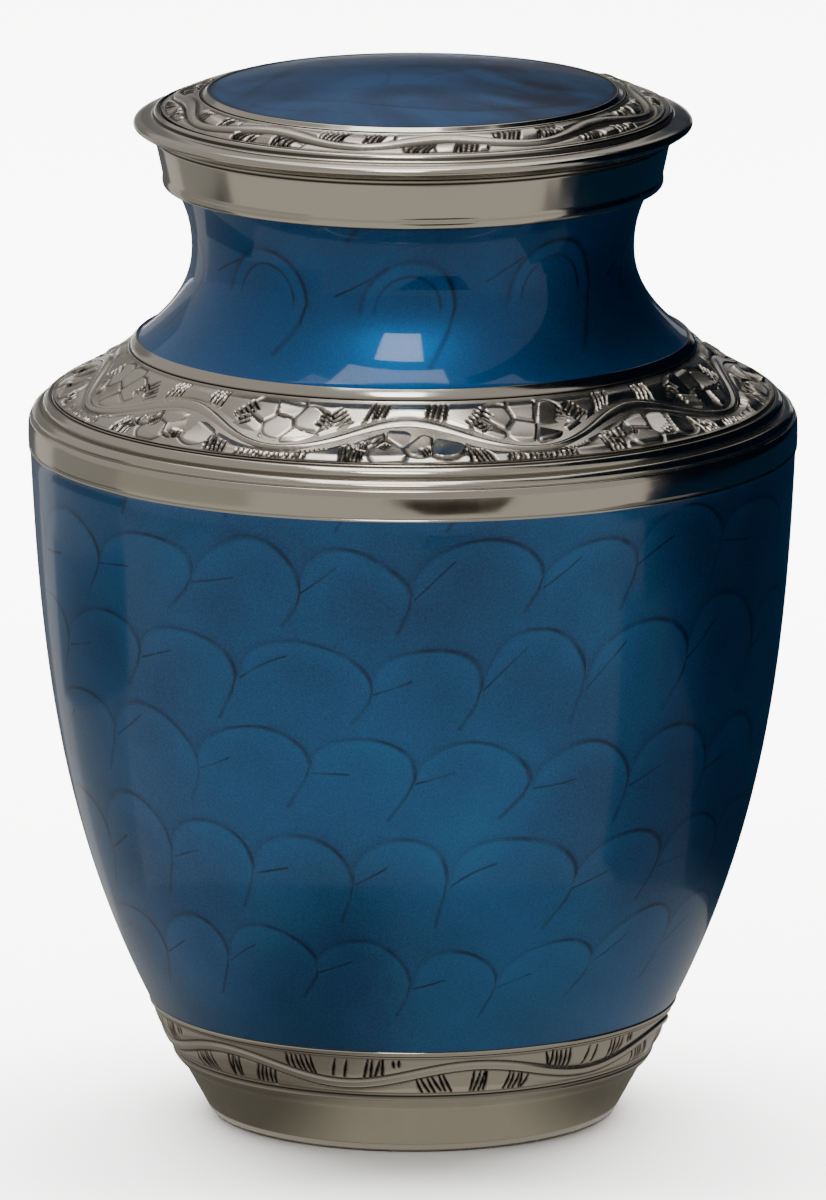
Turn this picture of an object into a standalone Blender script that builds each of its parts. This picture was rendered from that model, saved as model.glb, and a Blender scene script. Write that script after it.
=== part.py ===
"""Funeral urn: a hollow enamelled brass vessel with carved bands, and the lid that rests in its mouth.

Metres, +Z up. The origin is on the axis, in the plane that the foot stands on, and the front is -Y.
Both pieces are turned about the axis. The stem that waves round each carved band is raised afterwards.
"""

import math

import bpy
import numpy as np

MM = 0.001

# Facets round the pieces
TURN_STEPS = 60
CAVITY_STEPS = 36

# Walls and fits
WALL = 2.0 * MM
FLOOR_THICKNESS = 2.6 * MM
FLOOR_FILLET = 3.0 * MM
SEAT_GAP = 0.3 * MM
SPIGOT_CLEARANCE = 0.5 * MM
EDGE_CHAMFER = 0.4 * MM

# Radii that set the outline
RIM_RADIUS = 59.1 * MM
SHOULDER_RADIUS = 88.3 * MM
BODY_BASE_RADIUS = 61.0 * MM

# Foot, from the ground up
RECESS_DEPTH = 1.2 * MM
STANDING_RING_WIDTH = 7.0 * MM
FOOT_HEIGHT = 11.6 * MM
FOOT_FLARE = 6.4 * MM
FOOT_STEP_HEIGHT = 2.4 * MM
FOOT_STEP_WIDTH = 2.0 * MM
FOOT_GROOVE_HEIGHT = 1.4 * MM
FOOT_BAND_HEIGHT = 9.9 * MM
FOOT_BAND_FLARE = 4.5 * MM
FOOT_RING_HEIGHT = 1.5 * MM
RING_PROUD = 0.6 * MM
GROOVE_DEPTH = 0.7 * MM

# Body
BODY_HEIGHT = 128.0 * MM
BODY_BASE_SLOPE = 0.50
BODY_TOP_SLOPE = 0.045
BODY_ROWS = 7
ENAMEL_STEP = 0.5 * MM

# Shoulder
POLISHED_HEIGHT = 7.8 * MM
POLISHED_BULGE = 0.5 * MM
RIDGES_HEIGHT = 5.4 * MM
RIDGES_WIDTH = 5.7 * MM
SHOULDER_BAND_HEIGHT = 10.7 * MM
SHOULDER_BAND_HOLLOW = 1.1 * MM
NECK_RING_HEIGHT = 2.3 * MM
NECK_RING_WIDTH = 2.2 * MM

# Neck and collar
NECK_HEIGHT = 35.0 * MM
WAIST_ABOVE_BASE = 21.0 * MM
NECK_FLARE = 12.2 * MM
NECK_HOLLOW = 3.7 * MM
NECK_CURVE = 2.15
NECK_ROWS = 6
COLLAR_HEIGHT = 12.3 * MM
COLLAR_TAPER = 2.0 * MM
COLLAR_LIP = 2.7 * MM
COLLAR_LIP_HEIGHT = 2.2 * MM
COLLAR_WALL = 4.3 * MM
MOUTH_DEPTH = 9.5 * MM

# Lid
LID_OVERHANG = 4.9 * MM
LID_EDGE_RISE = 5.5 * MM
LID_EDGE_WIDTH = 6.5 * MM
LID_EDGE_THICKNESS = 2.3 * MM
LID_BAND_RISE = 3.1 * MM
LID_BAND_WIDTH = 8.6 * MM
LID_RING_RISE = 1.7 * MM
LID_RING_WIDTH = 2.3 * MM
DOME_RISE = 3.6 * MM
LID_THICKNESS = 2.2 * MM
SPIGOT_DEPTH = 8.0 * MM
SPIGOT_WALL = 2.0 * MM

# Carving
STEM_WIDTH = 1.8 * MM
STEM_SIDE = 0.4 * MM
STEM_RELIEF = 0.55 * MM
CLUSTER_RELIEF = 0.8 * MM
CLUSTER_LEAVES = 30
LEAF_BASE = 0.6

# Heights and radii that follow from the sizes above
FOOT_STEP_Z = FOOT_HEIGHT + FOOT_STEP_HEIGHT
FOOT_BAND_Z = FOOT_STEP_Z + FOOT_GROOVE_HEIGHT
FOOT_RING_Z = FOOT_BAND_Z + FOOT_BAND_HEIGHT
BODY_BASE_Z = FOOT_RING_Z + FOOT_RING_HEIGHT
BODY_TOP_Z = BODY_BASE_Z + BODY_HEIGHT
RIDGES_Z = BODY_TOP_Z + POLISHED_HEIGHT
SHOULDER_BAND_Z = RIDGES_Z + RIDGES_HEIGHT
NECK_RING_Z = SHOULDER_BAND_Z + SHOULDER_BAND_HEIGHT
NECK_BASE_Z = NECK_RING_Z + NECK_RING_HEIGHT
NECK_TOP_Z = NECK_BASE_Z + NECK_HEIGHT
RIM_Z = NECK_TOP_Z + COLLAR_HEIGHT
WAIST_Z = NECK_BASE_Z + WAIST_ABOVE_BASE

FOOT_BAND_TOP_RADIUS = BODY_BASE_RADIUS - RING_PROUD
FOOT_BAND_BASE_RADIUS = FOOT_BAND_TOP_RADIUS - FOOT_BAND_FLARE
FOOT_TOP_RADIUS = FOOT_BAND_BASE_RADIUS - GROOVE_DEPTH - FOOT_STEP_WIDTH
FOOT_RADIUS = FOOT_TOP_RADIUS - FOOT_FLARE
BODY_TOP_RADIUS = SHOULDER_RADIUS - ENAMEL_STEP
BAND_OUTER_RADIUS = SHOULDER_RADIUS - RIDGES_WIDTH
COLLAR_BASE_RADIUS = RIM_RADIUS - COLLAR_TAPER
NECK_TOP_RADIUS = COLLAR_BASE_RADIUS - COLLAR_LIP
WAIST_RADIUS = NECK_TOP_RADIUS - NECK_HOLLOW
NECK_BASE_RADIUS = WAIST_RADIUS + NECK_FLARE
BAND_INNER_RADIUS = NECK_BASE_RADIUS + NECK_RING_WIDTH
MOUTH_RADIUS = RIM_RADIUS - COLLAR_WALL

LID_SEAT_Z = RIM_Z + SEAT_GAP
LID_RADIUS = RIM_RADIUS + LID_OVERHANG
LID_BAND_OUTER_RADIUS = LID_RADIUS - LID_EDGE_WIDTH
LID_BAND_INNER_RADIUS = LID_BAND_OUTER_RADIUS - LID_BAND_WIDTH
LID_BAND_OUTER_Z = LID_SEAT_Z + LID_EDGE_RISE
LID_BAND_INNER_Z = LID_BAND_OUTER_Z + LID_BAND_RISE
DOME_RADIUS = LID_BAND_INNER_RADIUS - LID_RING_WIDTH
DOME_BASE_Z = LID_BAND_INNER_Z + LID_RING_RISE
LID_TOP_Z = DOME_BASE_Z + DOME_RISE
SPIGOT_RADIUS = MOUTH_RADIUS - SPIGOT_CLEARANCE

ROW_MARK = "carved_row"
ENAMEL_COLOUR = (0.012, 0.075, 0.205, 1.0)
PLATE_COLOUR = (0.43, 0.40, 0.35, 1.0)


class Band:
    """A carved band between two turned edges, crossed by a stem that waves round it."""

    def __init__(self, upper, lower, waves, lead, middle, swing, hollow=0.0, clusters=False):
        """Takes the (radius, height) of both edges; lead is the angle of a crest from the front."""
        self.upper = np.array(upper)
        self.lower = np.array(lower)
        self.waves = waves
        self.lead = math.radians(lead)
        self.middle = middle
        self.swing = swing
        self.hollow = hollow
        self.length = float(np.linalg.norm(self.lower - self.upper))
        along = (self.lower - self.upper) / self.length
        self.outward = np.array([-along[1], along[0]])
        stem = ["upper_foot", "upper_crest", "lower_crest", "lower_foot"]
        self.row_names = ["upper_cluster", *stem, "lower_cluster"] if clusters else stem

    def stem_share(self, turn):
        """Where the stem's middle lies at an angle, as a share of the way down the band."""
        return self.middle - self.swing * np.cos(self.waves * (turn - self.lead))

    def surface(self, share, lift=0.0):
        """Radius and height at a share of the way down, raised from the band's hollowed face."""
        share = np.asarray(share, float)
        sunk = lift - 4.0 * self.hollow * share * (1.0 - share)
        place = self.upper + share[..., None] * (self.lower - self.upper)
        return place + np.asarray(sunk)[..., None] * self.outward

    def row(self, name, turn):
        """Radius and height of one carved row at each angle."""
        stem = self.stem_share(turn)
        half = STEM_WIDTH / 2 / self.length
        foot = half + STEM_SIDE / self.length
        leaves = CLUSTER_RELIEF * (LEAF_BASE + (1 - LEAF_BASE) * np.cos(CLUSTER_LEAVES * turn))
        if name == "upper_cluster":
            return self.surface((stem - foot) / 2, leaves * (stem - foot))
        if name == "lower_cluster":
            return self.surface((1 + stem + foot) / 2, leaves * (1 - stem - foot))
        offset = {"upper_foot": -foot, "upper_crest": -half, "lower_crest": half, "lower_foot": foot}
        lift = STEM_RELIEF if name.endswith("crest") else 0.0
        return self.surface(stem + offset[name], lift)


SHOULDER_BAND = Band(
    (BAND_INNER_RADIUS, NECK_RING_Z), (BAND_OUTER_RADIUS, SHOULDER_BAND_Z),
    waves=8, lead=-1.0, middle=0.54, swing=0.23, hollow=SHOULDER_BAND_HOLLOW, clusters=True,
)
FOOT_BAND = Band(
    (FOOT_BAND_TOP_RADIUS, FOOT_RING_Z), (FOOT_BAND_BASE_RADIUS, FOOT_BAND_Z),
    waves=6, lead=14.0, middle=0.50, swing=0.24,
)
LID_BAND = Band(
    (LID_BAND_INNER_RADIUS, LID_BAND_INNER_Z), (LID_BAND_OUTER_RADIUS, LID_BAND_OUTER_Z),
    waves=8, lead=8.0, middle=0.50, swing=0.22,
)


def neck_radius(height):
    """Outer radius of the neck: a power curve from the waist to each of its ends."""
    above = height > WAIST_Z
    span = NECK_HEIGHT - WAIST_ABOVE_BASE if above else WAIST_ABOVE_BASE
    widening = NECK_HOLLOW if above else NECK_FLARE
    return WAIST_RADIUS + widening * (abs(height - WAIST_Z) / span) ** NECK_CURVE


def body_radius(height):
    """Outer radius of the enamelled body: a Hermite curve from its base to the shoulder."""
    t = (height - BODY_BASE_Z) / BODY_HEIGHT
    start = BODY_BASE_RADIUS * (2 * t**3 - 3 * t**2 + 1)
    start_slope = BODY_HEIGHT * BODY_BASE_SLOPE * (t**3 - 2 * t**2 + t)
    end = BODY_TOP_RADIUS * (3 * t**2 - 2 * t**3)
    end_slope = BODY_HEIGHT * BODY_TOP_SLOPE * (t**3 - t**2)
    return start + start_slope + end + end_slope


def curve_rows(radius_at, top, bottom, count):
    """Plain rows down a curve, both ends included."""
    return [(radius_at(z), z) for z in np.linspace(top, bottom, count)]


def band_rows(band, number):
    """A band's rows at rest: its edges, and between them the rows that the carving moves."""
    rows = [tuple(band.upper)]
    for place, name in enumerate(band.row_names):
        share = (place + 1) / (len(band.row_names) + 1)
        rows.append((*band.surface(share), number * 10 + place))
    rows.append(tuple(band.lower))
    return rows


def collar_rows():
    """The rim, the fine line under it, and the collar down to its rounded lip."""
    line_z = RIM_Z - 2.5 * EDGE_CHAMFER
    lip_z = NECK_TOP_Z + COLLAR_LIP_HEIGHT
    return [
        (RIM_RADIUS, RIM_Z),
        (RIM_RADIUS, line_z),
        (RIM_RADIUS - EDGE_CHAMFER, line_z - EDGE_CHAMFER / 2),
        (COLLAR_BASE_RADIUS, lip_z),
        (NECK_TOP_RADIUS + COLLAR_LIP / 3, NECK_TOP_Z),
    ]


def ridge_rows():
    """Two turned ridges with a groove above each, from the carved band out to the polished band."""
    step = np.array([RIDGES_WIDTH, -RIDGES_HEIGHT]) / 4
    start = np.array([BAND_OUTER_RADIUS, SHOULDER_BAND_Z])
    inward = np.array([GROOVE_DEPTH, GROOVE_DEPTH]) / math.sqrt(2)
    return [
        tuple(start + 0.6 * step - inward),
        tuple(start + 1.8 * step + inward / 2),
        tuple(start + 2.6 * step - inward / 2),
        (SHOULDER_RADIUS - POLISHED_BULGE, RIDGES_Z + RIDGES_HEIGHT / 3),
    ]


def polished_rows():
    """The plain polished band that bulges round the shoulder, and its step in to the enamel."""
    return [
        (SHOULDER_RADIUS - POLISHED_BULGE / 2, RIDGES_Z),
        (SHOULDER_RADIUS, BODY_TOP_Z + POLISHED_HEIGHT / 3),
        (SHOULDER_RADIUS - POLISHED_BULGE / 2, BODY_TOP_Z + ENAMEL_STEP),
    ]


def foot_rows():
    """The plain foot under the carved band, the standing ring and the recess inside it."""
    ring_inner = FOOT_RADIUS - STANDING_RING_WIDTH
    return [
        (FOOT_BAND_BASE_RADIUS - GROOVE_DEPTH, FOOT_STEP_Z),
        (FOOT_TOP_RADIUS, FOOT_HEIGHT),
        (FOOT_RADIUS, 0.0),
        (ring_inner, 0.0),
        (ring_inner - RECESS_DEPTH, RECESS_DEPTH),
        (0.0, RECESS_DEPTH),
    ]


def vessel_profile():
    """The vessel's outside, from the centre of its top down to the centre of its underside."""
    return [
        (0.0, RIM_Z),
        *collar_rows(),
        *curve_rows(neck_radius, NECK_TOP_Z, NECK_BASE_Z, NECK_ROWS),
        *band_rows(SHOULDER_BAND, 0),
        *ridge_rows(),
        *polished_rows(),
        *curve_rows(body_radius, BODY_TOP_Z, BODY_BASE_Z, BODY_ROWS),
        *band_rows(FOOT_BAND, 1),
        *foot_rows(),
    ]


def cavity_profile():
    """The hollow inside the vessel: its smooth outside moved in by the wall, open at the mouth."""
    shoulder = [SHOULDER_BAND.surface(share) for share in (0.0, 0.5, 1.0)]
    guide = np.array([
        *curve_rows(neck_radius, NECK_TOP_Z, NECK_BASE_Z, NECK_ROWS),
        *shoulder,
        (BODY_TOP_RADIUS, RIDGES_Z),
        *curve_rows(body_radius, BODY_TOP_Z, BODY_BASE_Z, BODY_ROWS),
        (FOOT_BAND_BASE_RADIUS - GROOVE_DEPTH, FOOT_STEP_Z),
        (FOOT_TOP_RADIUS, FOOT_HEIGHT),
        (FOOT_RADIUS, 0.0),
    ])
    along = np.gradient(guide, axis=0)
    along /= np.linalg.norm(along, axis=1, keepdims=True)
    inner = guide - WALL * np.stack([-along[:, 1], along[:, 0]], axis=1)
    floor_z = RECESS_DEPTH + FLOOR_THICKNESS
    corner_z = floor_z + FLOOR_FILLET
    corner_radius = float(np.interp(corner_z, inner[::-1, 1], inner[::-1, 0]))
    mouth_base_z = RIM_Z - MOUTH_DEPTH
    above_rim = RIM_Z + COLLAR_HEIGHT
    wall = [tuple(point) for point in inner if corner_z < point[1] < mouth_base_z]
    return [
        (0.0, above_rim),
        (MOUTH_RADIUS, above_rim),
        (MOUTH_RADIUS, mouth_base_z),
        *wall,
        (corner_radius, corner_z),
        (corner_radius - FLOOR_FILLET, floor_z),
        (0.0, floor_z),
    ]


def lid_edge_rows():
    """The lid's turned edge, from the carved band out over the rim and back to the seat."""
    nose_z = LID_SEAT_Z + LID_EDGE_THICKNESS
    bead = np.array([LID_BAND_OUTER_RADIUS, LID_BAND_OUTER_Z])
    return [
        tuple(bead + [GROOVE_DEPTH / 2, -GROOVE_DEPTH]),
        tuple(bead + [LID_EDGE_WIDTH * 0.2, -LID_EDGE_RISE * 0.05]),
        tuple(bead + [LID_EDGE_WIDTH * 0.32, -LID_EDGE_RISE * 0.25]),
        tuple(bead + [LID_EDGE_WIDTH * 0.75, -LID_EDGE_RISE * 0.37]),
        (LID_RADIUS, nose_z + EDGE_CHAMFER),
        (LID_RADIUS, nose_z - EDGE_CHAMFER),
        (LID_RADIUS - LID_EDGE_THICKNESS, LID_SEAT_Z + EDGE_CHAMFER),
        (RIM_RADIUS, LID_SEAT_Z),
    ]


def lid_profile():
    """The lid, from the centre of its dome out, down and back under to the centre of its hollow."""
    spigot_inner = SPIGOT_RADIUS - SPIGOT_WALL
    spigot_z = LID_SEAT_Z - SPIGOT_DEPTH
    ring_crest = (DOME_RADIUS + LID_RING_WIDTH / 6, DOME_BASE_Z)
    return [
        (0.0, LID_TOP_Z),
        (DOME_RADIUS * 0.6, DOME_BASE_Z + DOME_RISE * (1 - 0.6**2)),
        (DOME_RADIUS, DOME_BASE_Z - EDGE_CHAMFER / 4),
        ring_crest,
        *band_rows(LID_BAND, 0),
        *lid_edge_rows(),
        (SPIGOT_RADIUS, LID_SEAT_Z),
        (SPIGOT_RADIUS, spigot_z),
        (spigot_inner, spigot_z),
        (spigot_inner, LID_BAND_OUTER_Z - LID_THICKNESS),
        (DOME_RADIUS, DOME_BASE_Z - LID_THICKNESS),
        (0.0, LID_TOP_Z - LID_THICKNESS),
    ]


def turned(name, profile, steps, collection):
    """An object with a profile at +X and the Screw modifier that turns it about the axis."""
    mesh = bpy.data.meshes.new(name)
    points = [(row[0], 0.0, row[1]) for row in profile]
    mesh.from_pydata(points, [(i, i + 1) for i in range(len(points) - 1)], [])
    marks = mesh.attributes.new(ROW_MARK, "INT", "POINT")
    marks.data.foreach_set("value", [row[2] if len(row) > 2 else -1 for row in profile])
    obj = bpy.data.objects.new(name, mesh)
    collection.objects.link(obj)
    screw = obj.modifiers.new("turn", "SCREW")
    screw.axis = "Z"
    screw.steps = steps
    screw.render_steps = steps
    screw.use_merge_vertices = True
    screw.merge_threshold = 0.00001
    return obj


def apply_modifiers(obj):
    """Replaces the object's mesh with its evaluated one and clears its modifiers."""
    graph = bpy.context.evaluated_depsgraph_get()
    profile_mesh = obj.data
    obj.data = bpy.data.meshes.new_from_object(obj.evaluated_get(graph))
    obj.modifiers.clear()
    bpy.data.meshes.remove(profile_mesh)
    obj.data.name = obj.name


def carve(obj, bands):
    """Moves each marked row of the turned mesh to the stem and clusters of its band."""
    mesh = obj.data
    points = np.empty(len(mesh.vertices) * 3)
    mesh.vertices.foreach_get("co", points)
    points = points.reshape(-1, 3)
    marks = np.empty(len(mesh.vertices), np.int32)
    mesh.attributes[ROW_MARK].data.foreach_get("value", marks)
    turn = np.arctan2(points[:, 0], -points[:, 1])
    for number, band in enumerate(bands):
        for place, name in enumerate(band.row_names):
            chosen = marks == number * 10 + place
            radius, height = band.row(name, turn[chosen]).T
            angle = turn[chosen]
            points[chosen] = np.stack([radius * np.sin(angle), -radius * np.cos(angle), height], axis=1)
    mesh.vertices.foreach_set("co", points.ravel())
    mesh.update()


def material(name, colour, metallic, roughness):
    """A Principled material with the finish's plain values."""
    made = bpy.data.materials.new(name)
    made.use_nodes = True
    shader = made.node_tree.nodes["Principled BSDF"]
    shader.inputs["Base Color"].default_value = colour
    shader.inputs["Metallic"].default_value = metallic
    shader.inputs["Roughness"].default_value = roughness
    made.diffuse_color = colour
    return made


def dress(obj, finishes, enamelled):
    """Gives the piece its finishes, with enamel on the outer faces between each pair of heights."""
    mesh = obj.data
    for finish in finishes:
        mesh.materials.append(finish)
    for face in mesh.polygons:
        x, y, z = face.center
        outside = face.normal.x * x + face.normal.y * y >= 0.0 and face.normal.z > -0.6
        face.material_index = int(outside and any(low < z < high for low, high in enamelled))
    mesh.shade_smooth()
    mesh.set_sharp_from_angle(angle=math.radians(28))


def build_vessel(parts, cutters, finishes):
    """The vessel: its carved outside, less the turned hollow."""
    vessel = turned("vessel", vessel_profile(), TURN_STEPS, parts)
    apply_modifiers(vessel)
    carve(vessel, [SHOULDER_BAND, FOOT_BAND])
    dress(vessel, finishes, [(BODY_BASE_Z, BODY_TOP_Z), (NECK_BASE_Z, NECK_TOP_Z)])
    hollow = turned("cavity", cavity_profile(), CAVITY_STEPS, cutters)
    hollow.hide_render = True
    hollow.display_type = "WIRE"
    cut = vessel.modifiers.new("hollow", "BOOLEAN")
    cut.operation = "DIFFERENCE"
    cut.object = hollow
    return vessel


def build_lid(parts, finishes):
    """The lid, whose spigot stands in the mouth and whose edge rests on the rim."""
    lid = turned("lid", lid_profile(), TURN_STEPS, parts)
    apply_modifiers(lid)
    carve(lid, [LID_BAND])
    dress(lid, finishes, [(DOME_BASE_Z, LID_TOP_Z)])
    return lid


def main():
    """Clears the scene and builds both pieces."""
    for obj in list(bpy.data.objects):
        bpy.data.objects.remove(obj, do_unlink=True)
    parts = bpy.data.collections.new("funeral_urn")
    cutters = bpy.data.collections.new("cutters")
    for collection in (parts, cutters):
        bpy.context.scene.collection.children.link(collection)
    plate = material("nickel plated brass", PLATE_COLOUR, 1.0, 0.24)
    enamel = material("blue pearl enamel", ENAMEL_COLOUR, 0.35, 0.22)
    build_vessel(parts, cutters, [plate, enamel])
    build_lid(parts, [plate, enamel])


main()
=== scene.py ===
"""Looks of the funeral urn: the enamelled vessel, its lid and the three engraved bands.

Sizes are in millimetres in the classes below and become metres when a mesh is made. The axis is Z, the
origin is under the foot and the front is -Y. A turn angle is 0 at the front and grows towards +X.
"""

import logging
import math
from collections.abc import Callable, Sequence
from dataclasses import dataclass, field
from enum import Enum
from functools import partial
from typing import NamedTuple

import bpy
import numpy as np
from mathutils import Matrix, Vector
from numpy.typing import NDArray


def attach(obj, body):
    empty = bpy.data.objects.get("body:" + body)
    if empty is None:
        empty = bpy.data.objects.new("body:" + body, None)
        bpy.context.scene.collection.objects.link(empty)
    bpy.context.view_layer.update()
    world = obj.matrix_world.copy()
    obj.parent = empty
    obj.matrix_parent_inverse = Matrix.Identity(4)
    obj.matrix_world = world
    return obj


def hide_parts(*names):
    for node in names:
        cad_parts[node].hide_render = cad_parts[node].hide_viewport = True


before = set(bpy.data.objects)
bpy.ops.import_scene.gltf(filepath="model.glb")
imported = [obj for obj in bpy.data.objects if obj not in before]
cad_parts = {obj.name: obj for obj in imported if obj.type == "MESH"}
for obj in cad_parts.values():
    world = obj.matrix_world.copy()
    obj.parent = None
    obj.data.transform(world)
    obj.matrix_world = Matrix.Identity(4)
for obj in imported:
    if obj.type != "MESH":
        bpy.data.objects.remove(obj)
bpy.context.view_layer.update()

MM = 0.001
PATTERN = "pattern"
# Name of the mesh attribute of painted shade: darkening painted into grooves, cuts and round the lid's
# dome.
PAINTED_SHADE = "painted_shade"
Array = NDArray[np.float64]
Pair = tuple[float, float]
Material = bpy.types.Material
Node = bpy.types.Node
Feed = bpy.types.NodeSocket | Node
Adder = Callable[..., Node]
SOFT = {"interpolation_type": "SMOOTHSTEP"}
SHARP_ANGLE = math.radians(35.0)


class Zone(Enum):
    """The finishes that one turned piece wears, in the order of its material slots."""

    PLATE = 0
    SATIN = 1
    ENAMEL = 2
    BARE = 3
    NECK = 4
    ENGRAVED = 5


class Side(Enum):
    """The strip of a band on either side of its stem."""

    UPPER = -1
    LOWER = 1


def linear(colour: str) -> tuple[float, float, float, float]:
    """Turns an sRGB colour to the linear values that a shader takes.

    Args:
        colour: Six hex digits, such as "2a5c8f".

    Returns:
        Linear red, green and blue, and an alpha of 1.
    """
    parts = [int(colour[i:i + 2], 16) / 255 for i in (0, 2, 4)]
    red, green, blue = (p / 12.92 if p <= 0.04045 else ((p + 0.055) / 1.055) ** 2.4 for p in parts)
    return red, green, blue, 1.0


def smooth(start: float | Array, end: float | Array, value: Array) -> Array:
    """Rises smoothly from 0 at start to 1 at end, as 3t^2 - 2t^3.

    Args:
        start: The value that gives 0.
        end: The value that gives 1.
        value: Where to look.

    Returns:
        The share reached at each value.
    """
    t = np.clip((value - start) / (end - start), 0.0, 1.0)
    return t * t * (3 - 2 * t)


def feed(node: Node, inputs: dict | Sequence) -> None:
    """Gives a node's inputs their values and links.

    Args:
        node: The node.
        inputs: What each input takes, in order or by the input's name: a value, the socket that feeds
            it, or the node whose first output in use feeds it.
    """
    for key, value in inputs.items() if isinstance(inputs, dict) else enumerate(inputs):
        if isinstance(value, Node):
            value = next(output for output in value.outputs if output.enabled)
        if isinstance(value, bpy.types.NodeSocket):
            node.id_data.links.new(value, node.inputs[key])
        else:
            node.inputs[key].default_value = value


def add_node(tree: bpy.types.NodeTree, kind: str, inputs: dict | Sequence = (), operation: str = "",
             **settings: str) -> Node:
    """Adds a node to a tree, with its settings, values and links.

    Args:
        tree: The tree that takes the node.
        kind: The node's Blender type name, without its first word ShaderNode.
        inputs: What its inputs take, as feed has them.
        operation: What the node does, where its kind has a choice.
        settings: Its other properties by name.

    Returns:
        The new node.
    """
    node = tree.nodes.new("ShaderNode" + kind)
    if operation:
        node.operation = operation
    for name, value in settings.items():
        setattr(node, name, value)
    feed(node, inputs)
    return node


def new_material(name: str) -> tuple[Material, Adder, Node]:
    """Starts a material with nodes.

    Args:
        name: The material's name.

    Returns:
        The material, add_node for its tree, and its Principled shader.
    """
    material = bpy.data.materials.new(name)
    material.use_nodes = True
    tree = material.node_tree
    return material, partial(add_node, tree), tree.nodes["Principled BSDF"]


class Corner(NamedTuple):
    """One corner of a turned outline, in mm, and the finish and painted groove shade of the face that
    follows it.
    """

    radius: float
    height: float
    fillet: float = 0.0
    groove_shade: float = 0.0
    zone: Zone = Zone.PLATE


def moulding(radius: float, height: float, *steps: tuple[float, ...],
             zone: Zone = Zone.PLATE) -> list[Corner]:
    """Places corners by their offsets from one point.

    Args:
        radius: The point's radius, in mm.
        height: Its height, in mm.
        steps: Each corner's offset outwards and up, and where it has them its fillet and its painted
            shade.
        zone: The finish of all the corners' faces.

    Returns:
        The corners in order.
    """
    return [Corner(radius + out, height + up, *rest, zone=zone) for out, up, *rest in steps]


def outward(upper: Pair, lower: Pair) -> Array:
    """The unit direction out of a sloping face, as radius and height, from its two edges."""
    return np.array([upper[1] - lower[1], lower[0] - upper[0]]) / math.dist(upper, lower)


@dataclass
class Outline:
    """A turned outline as dense arrays, from one point of the axis to the other."""

    places: Array
    zones: NDArray[np.int32]
    groove_shade: Array

    @classmethod
    def rounded(cls, corners: Sequence[Corner], steps: int = 5) -> "Outline":
        """Rounds each corner by a parabola between two points set back from it by its fillet.

        Args:
            corners: The outline's corners in order.
            steps: Points on each rounded corner.

        Returns:
            The outline with doubled points left out.
        """
        place = np.array([(c.radius, c.height) for c in corners])
        back = np.roll(place, 1, axis=0) - place
        ahead = np.roll(place, -1, axis=0) - place
        back_length = np.linalg.norm(back, axis=1)
        ahead_length = np.linalg.norm(ahead, axis=1)
        setback = np.minimum([c.fillet for c in corners], 0.48 * np.minimum(back_length, ahead_length))
        setback[[0, -1]] = 0.0
        start = place + back * (setback / back_length)[:, None]
        end = place + ahead * (setback / ahead_length)[:, None]
        t = np.linspace(0.0, 1.0, steps)[None, :, None]
        arcs = (1 - t) ** 2 * start[:, None] + 2 * t * (1 - t) * place[:, None] + t**2 * end[:, None]
        points = arcs.reshape(-1, 2)
        fresh = np.r_[True, np.linalg.norm(np.diff(points, axis=0), axis=1) > 1e-6]
        zones = np.repeat([c.zone.value for c in corners], steps)
        # Painted shade in grooves and creases, carried from each corner to its points.
        groove_shade = np.repeat([c.groove_shade for c in corners], steps)
        return cls(points[fresh], zones[fresh].astype(np.int32), groove_shade[fresh])

    def along(self) -> Array:
        """The length along the outline up to each point, in mm."""
        return np.r_[0.0, np.cumsum(np.linalg.norm(np.diff(self.places, axis=0), axis=1))]


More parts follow.
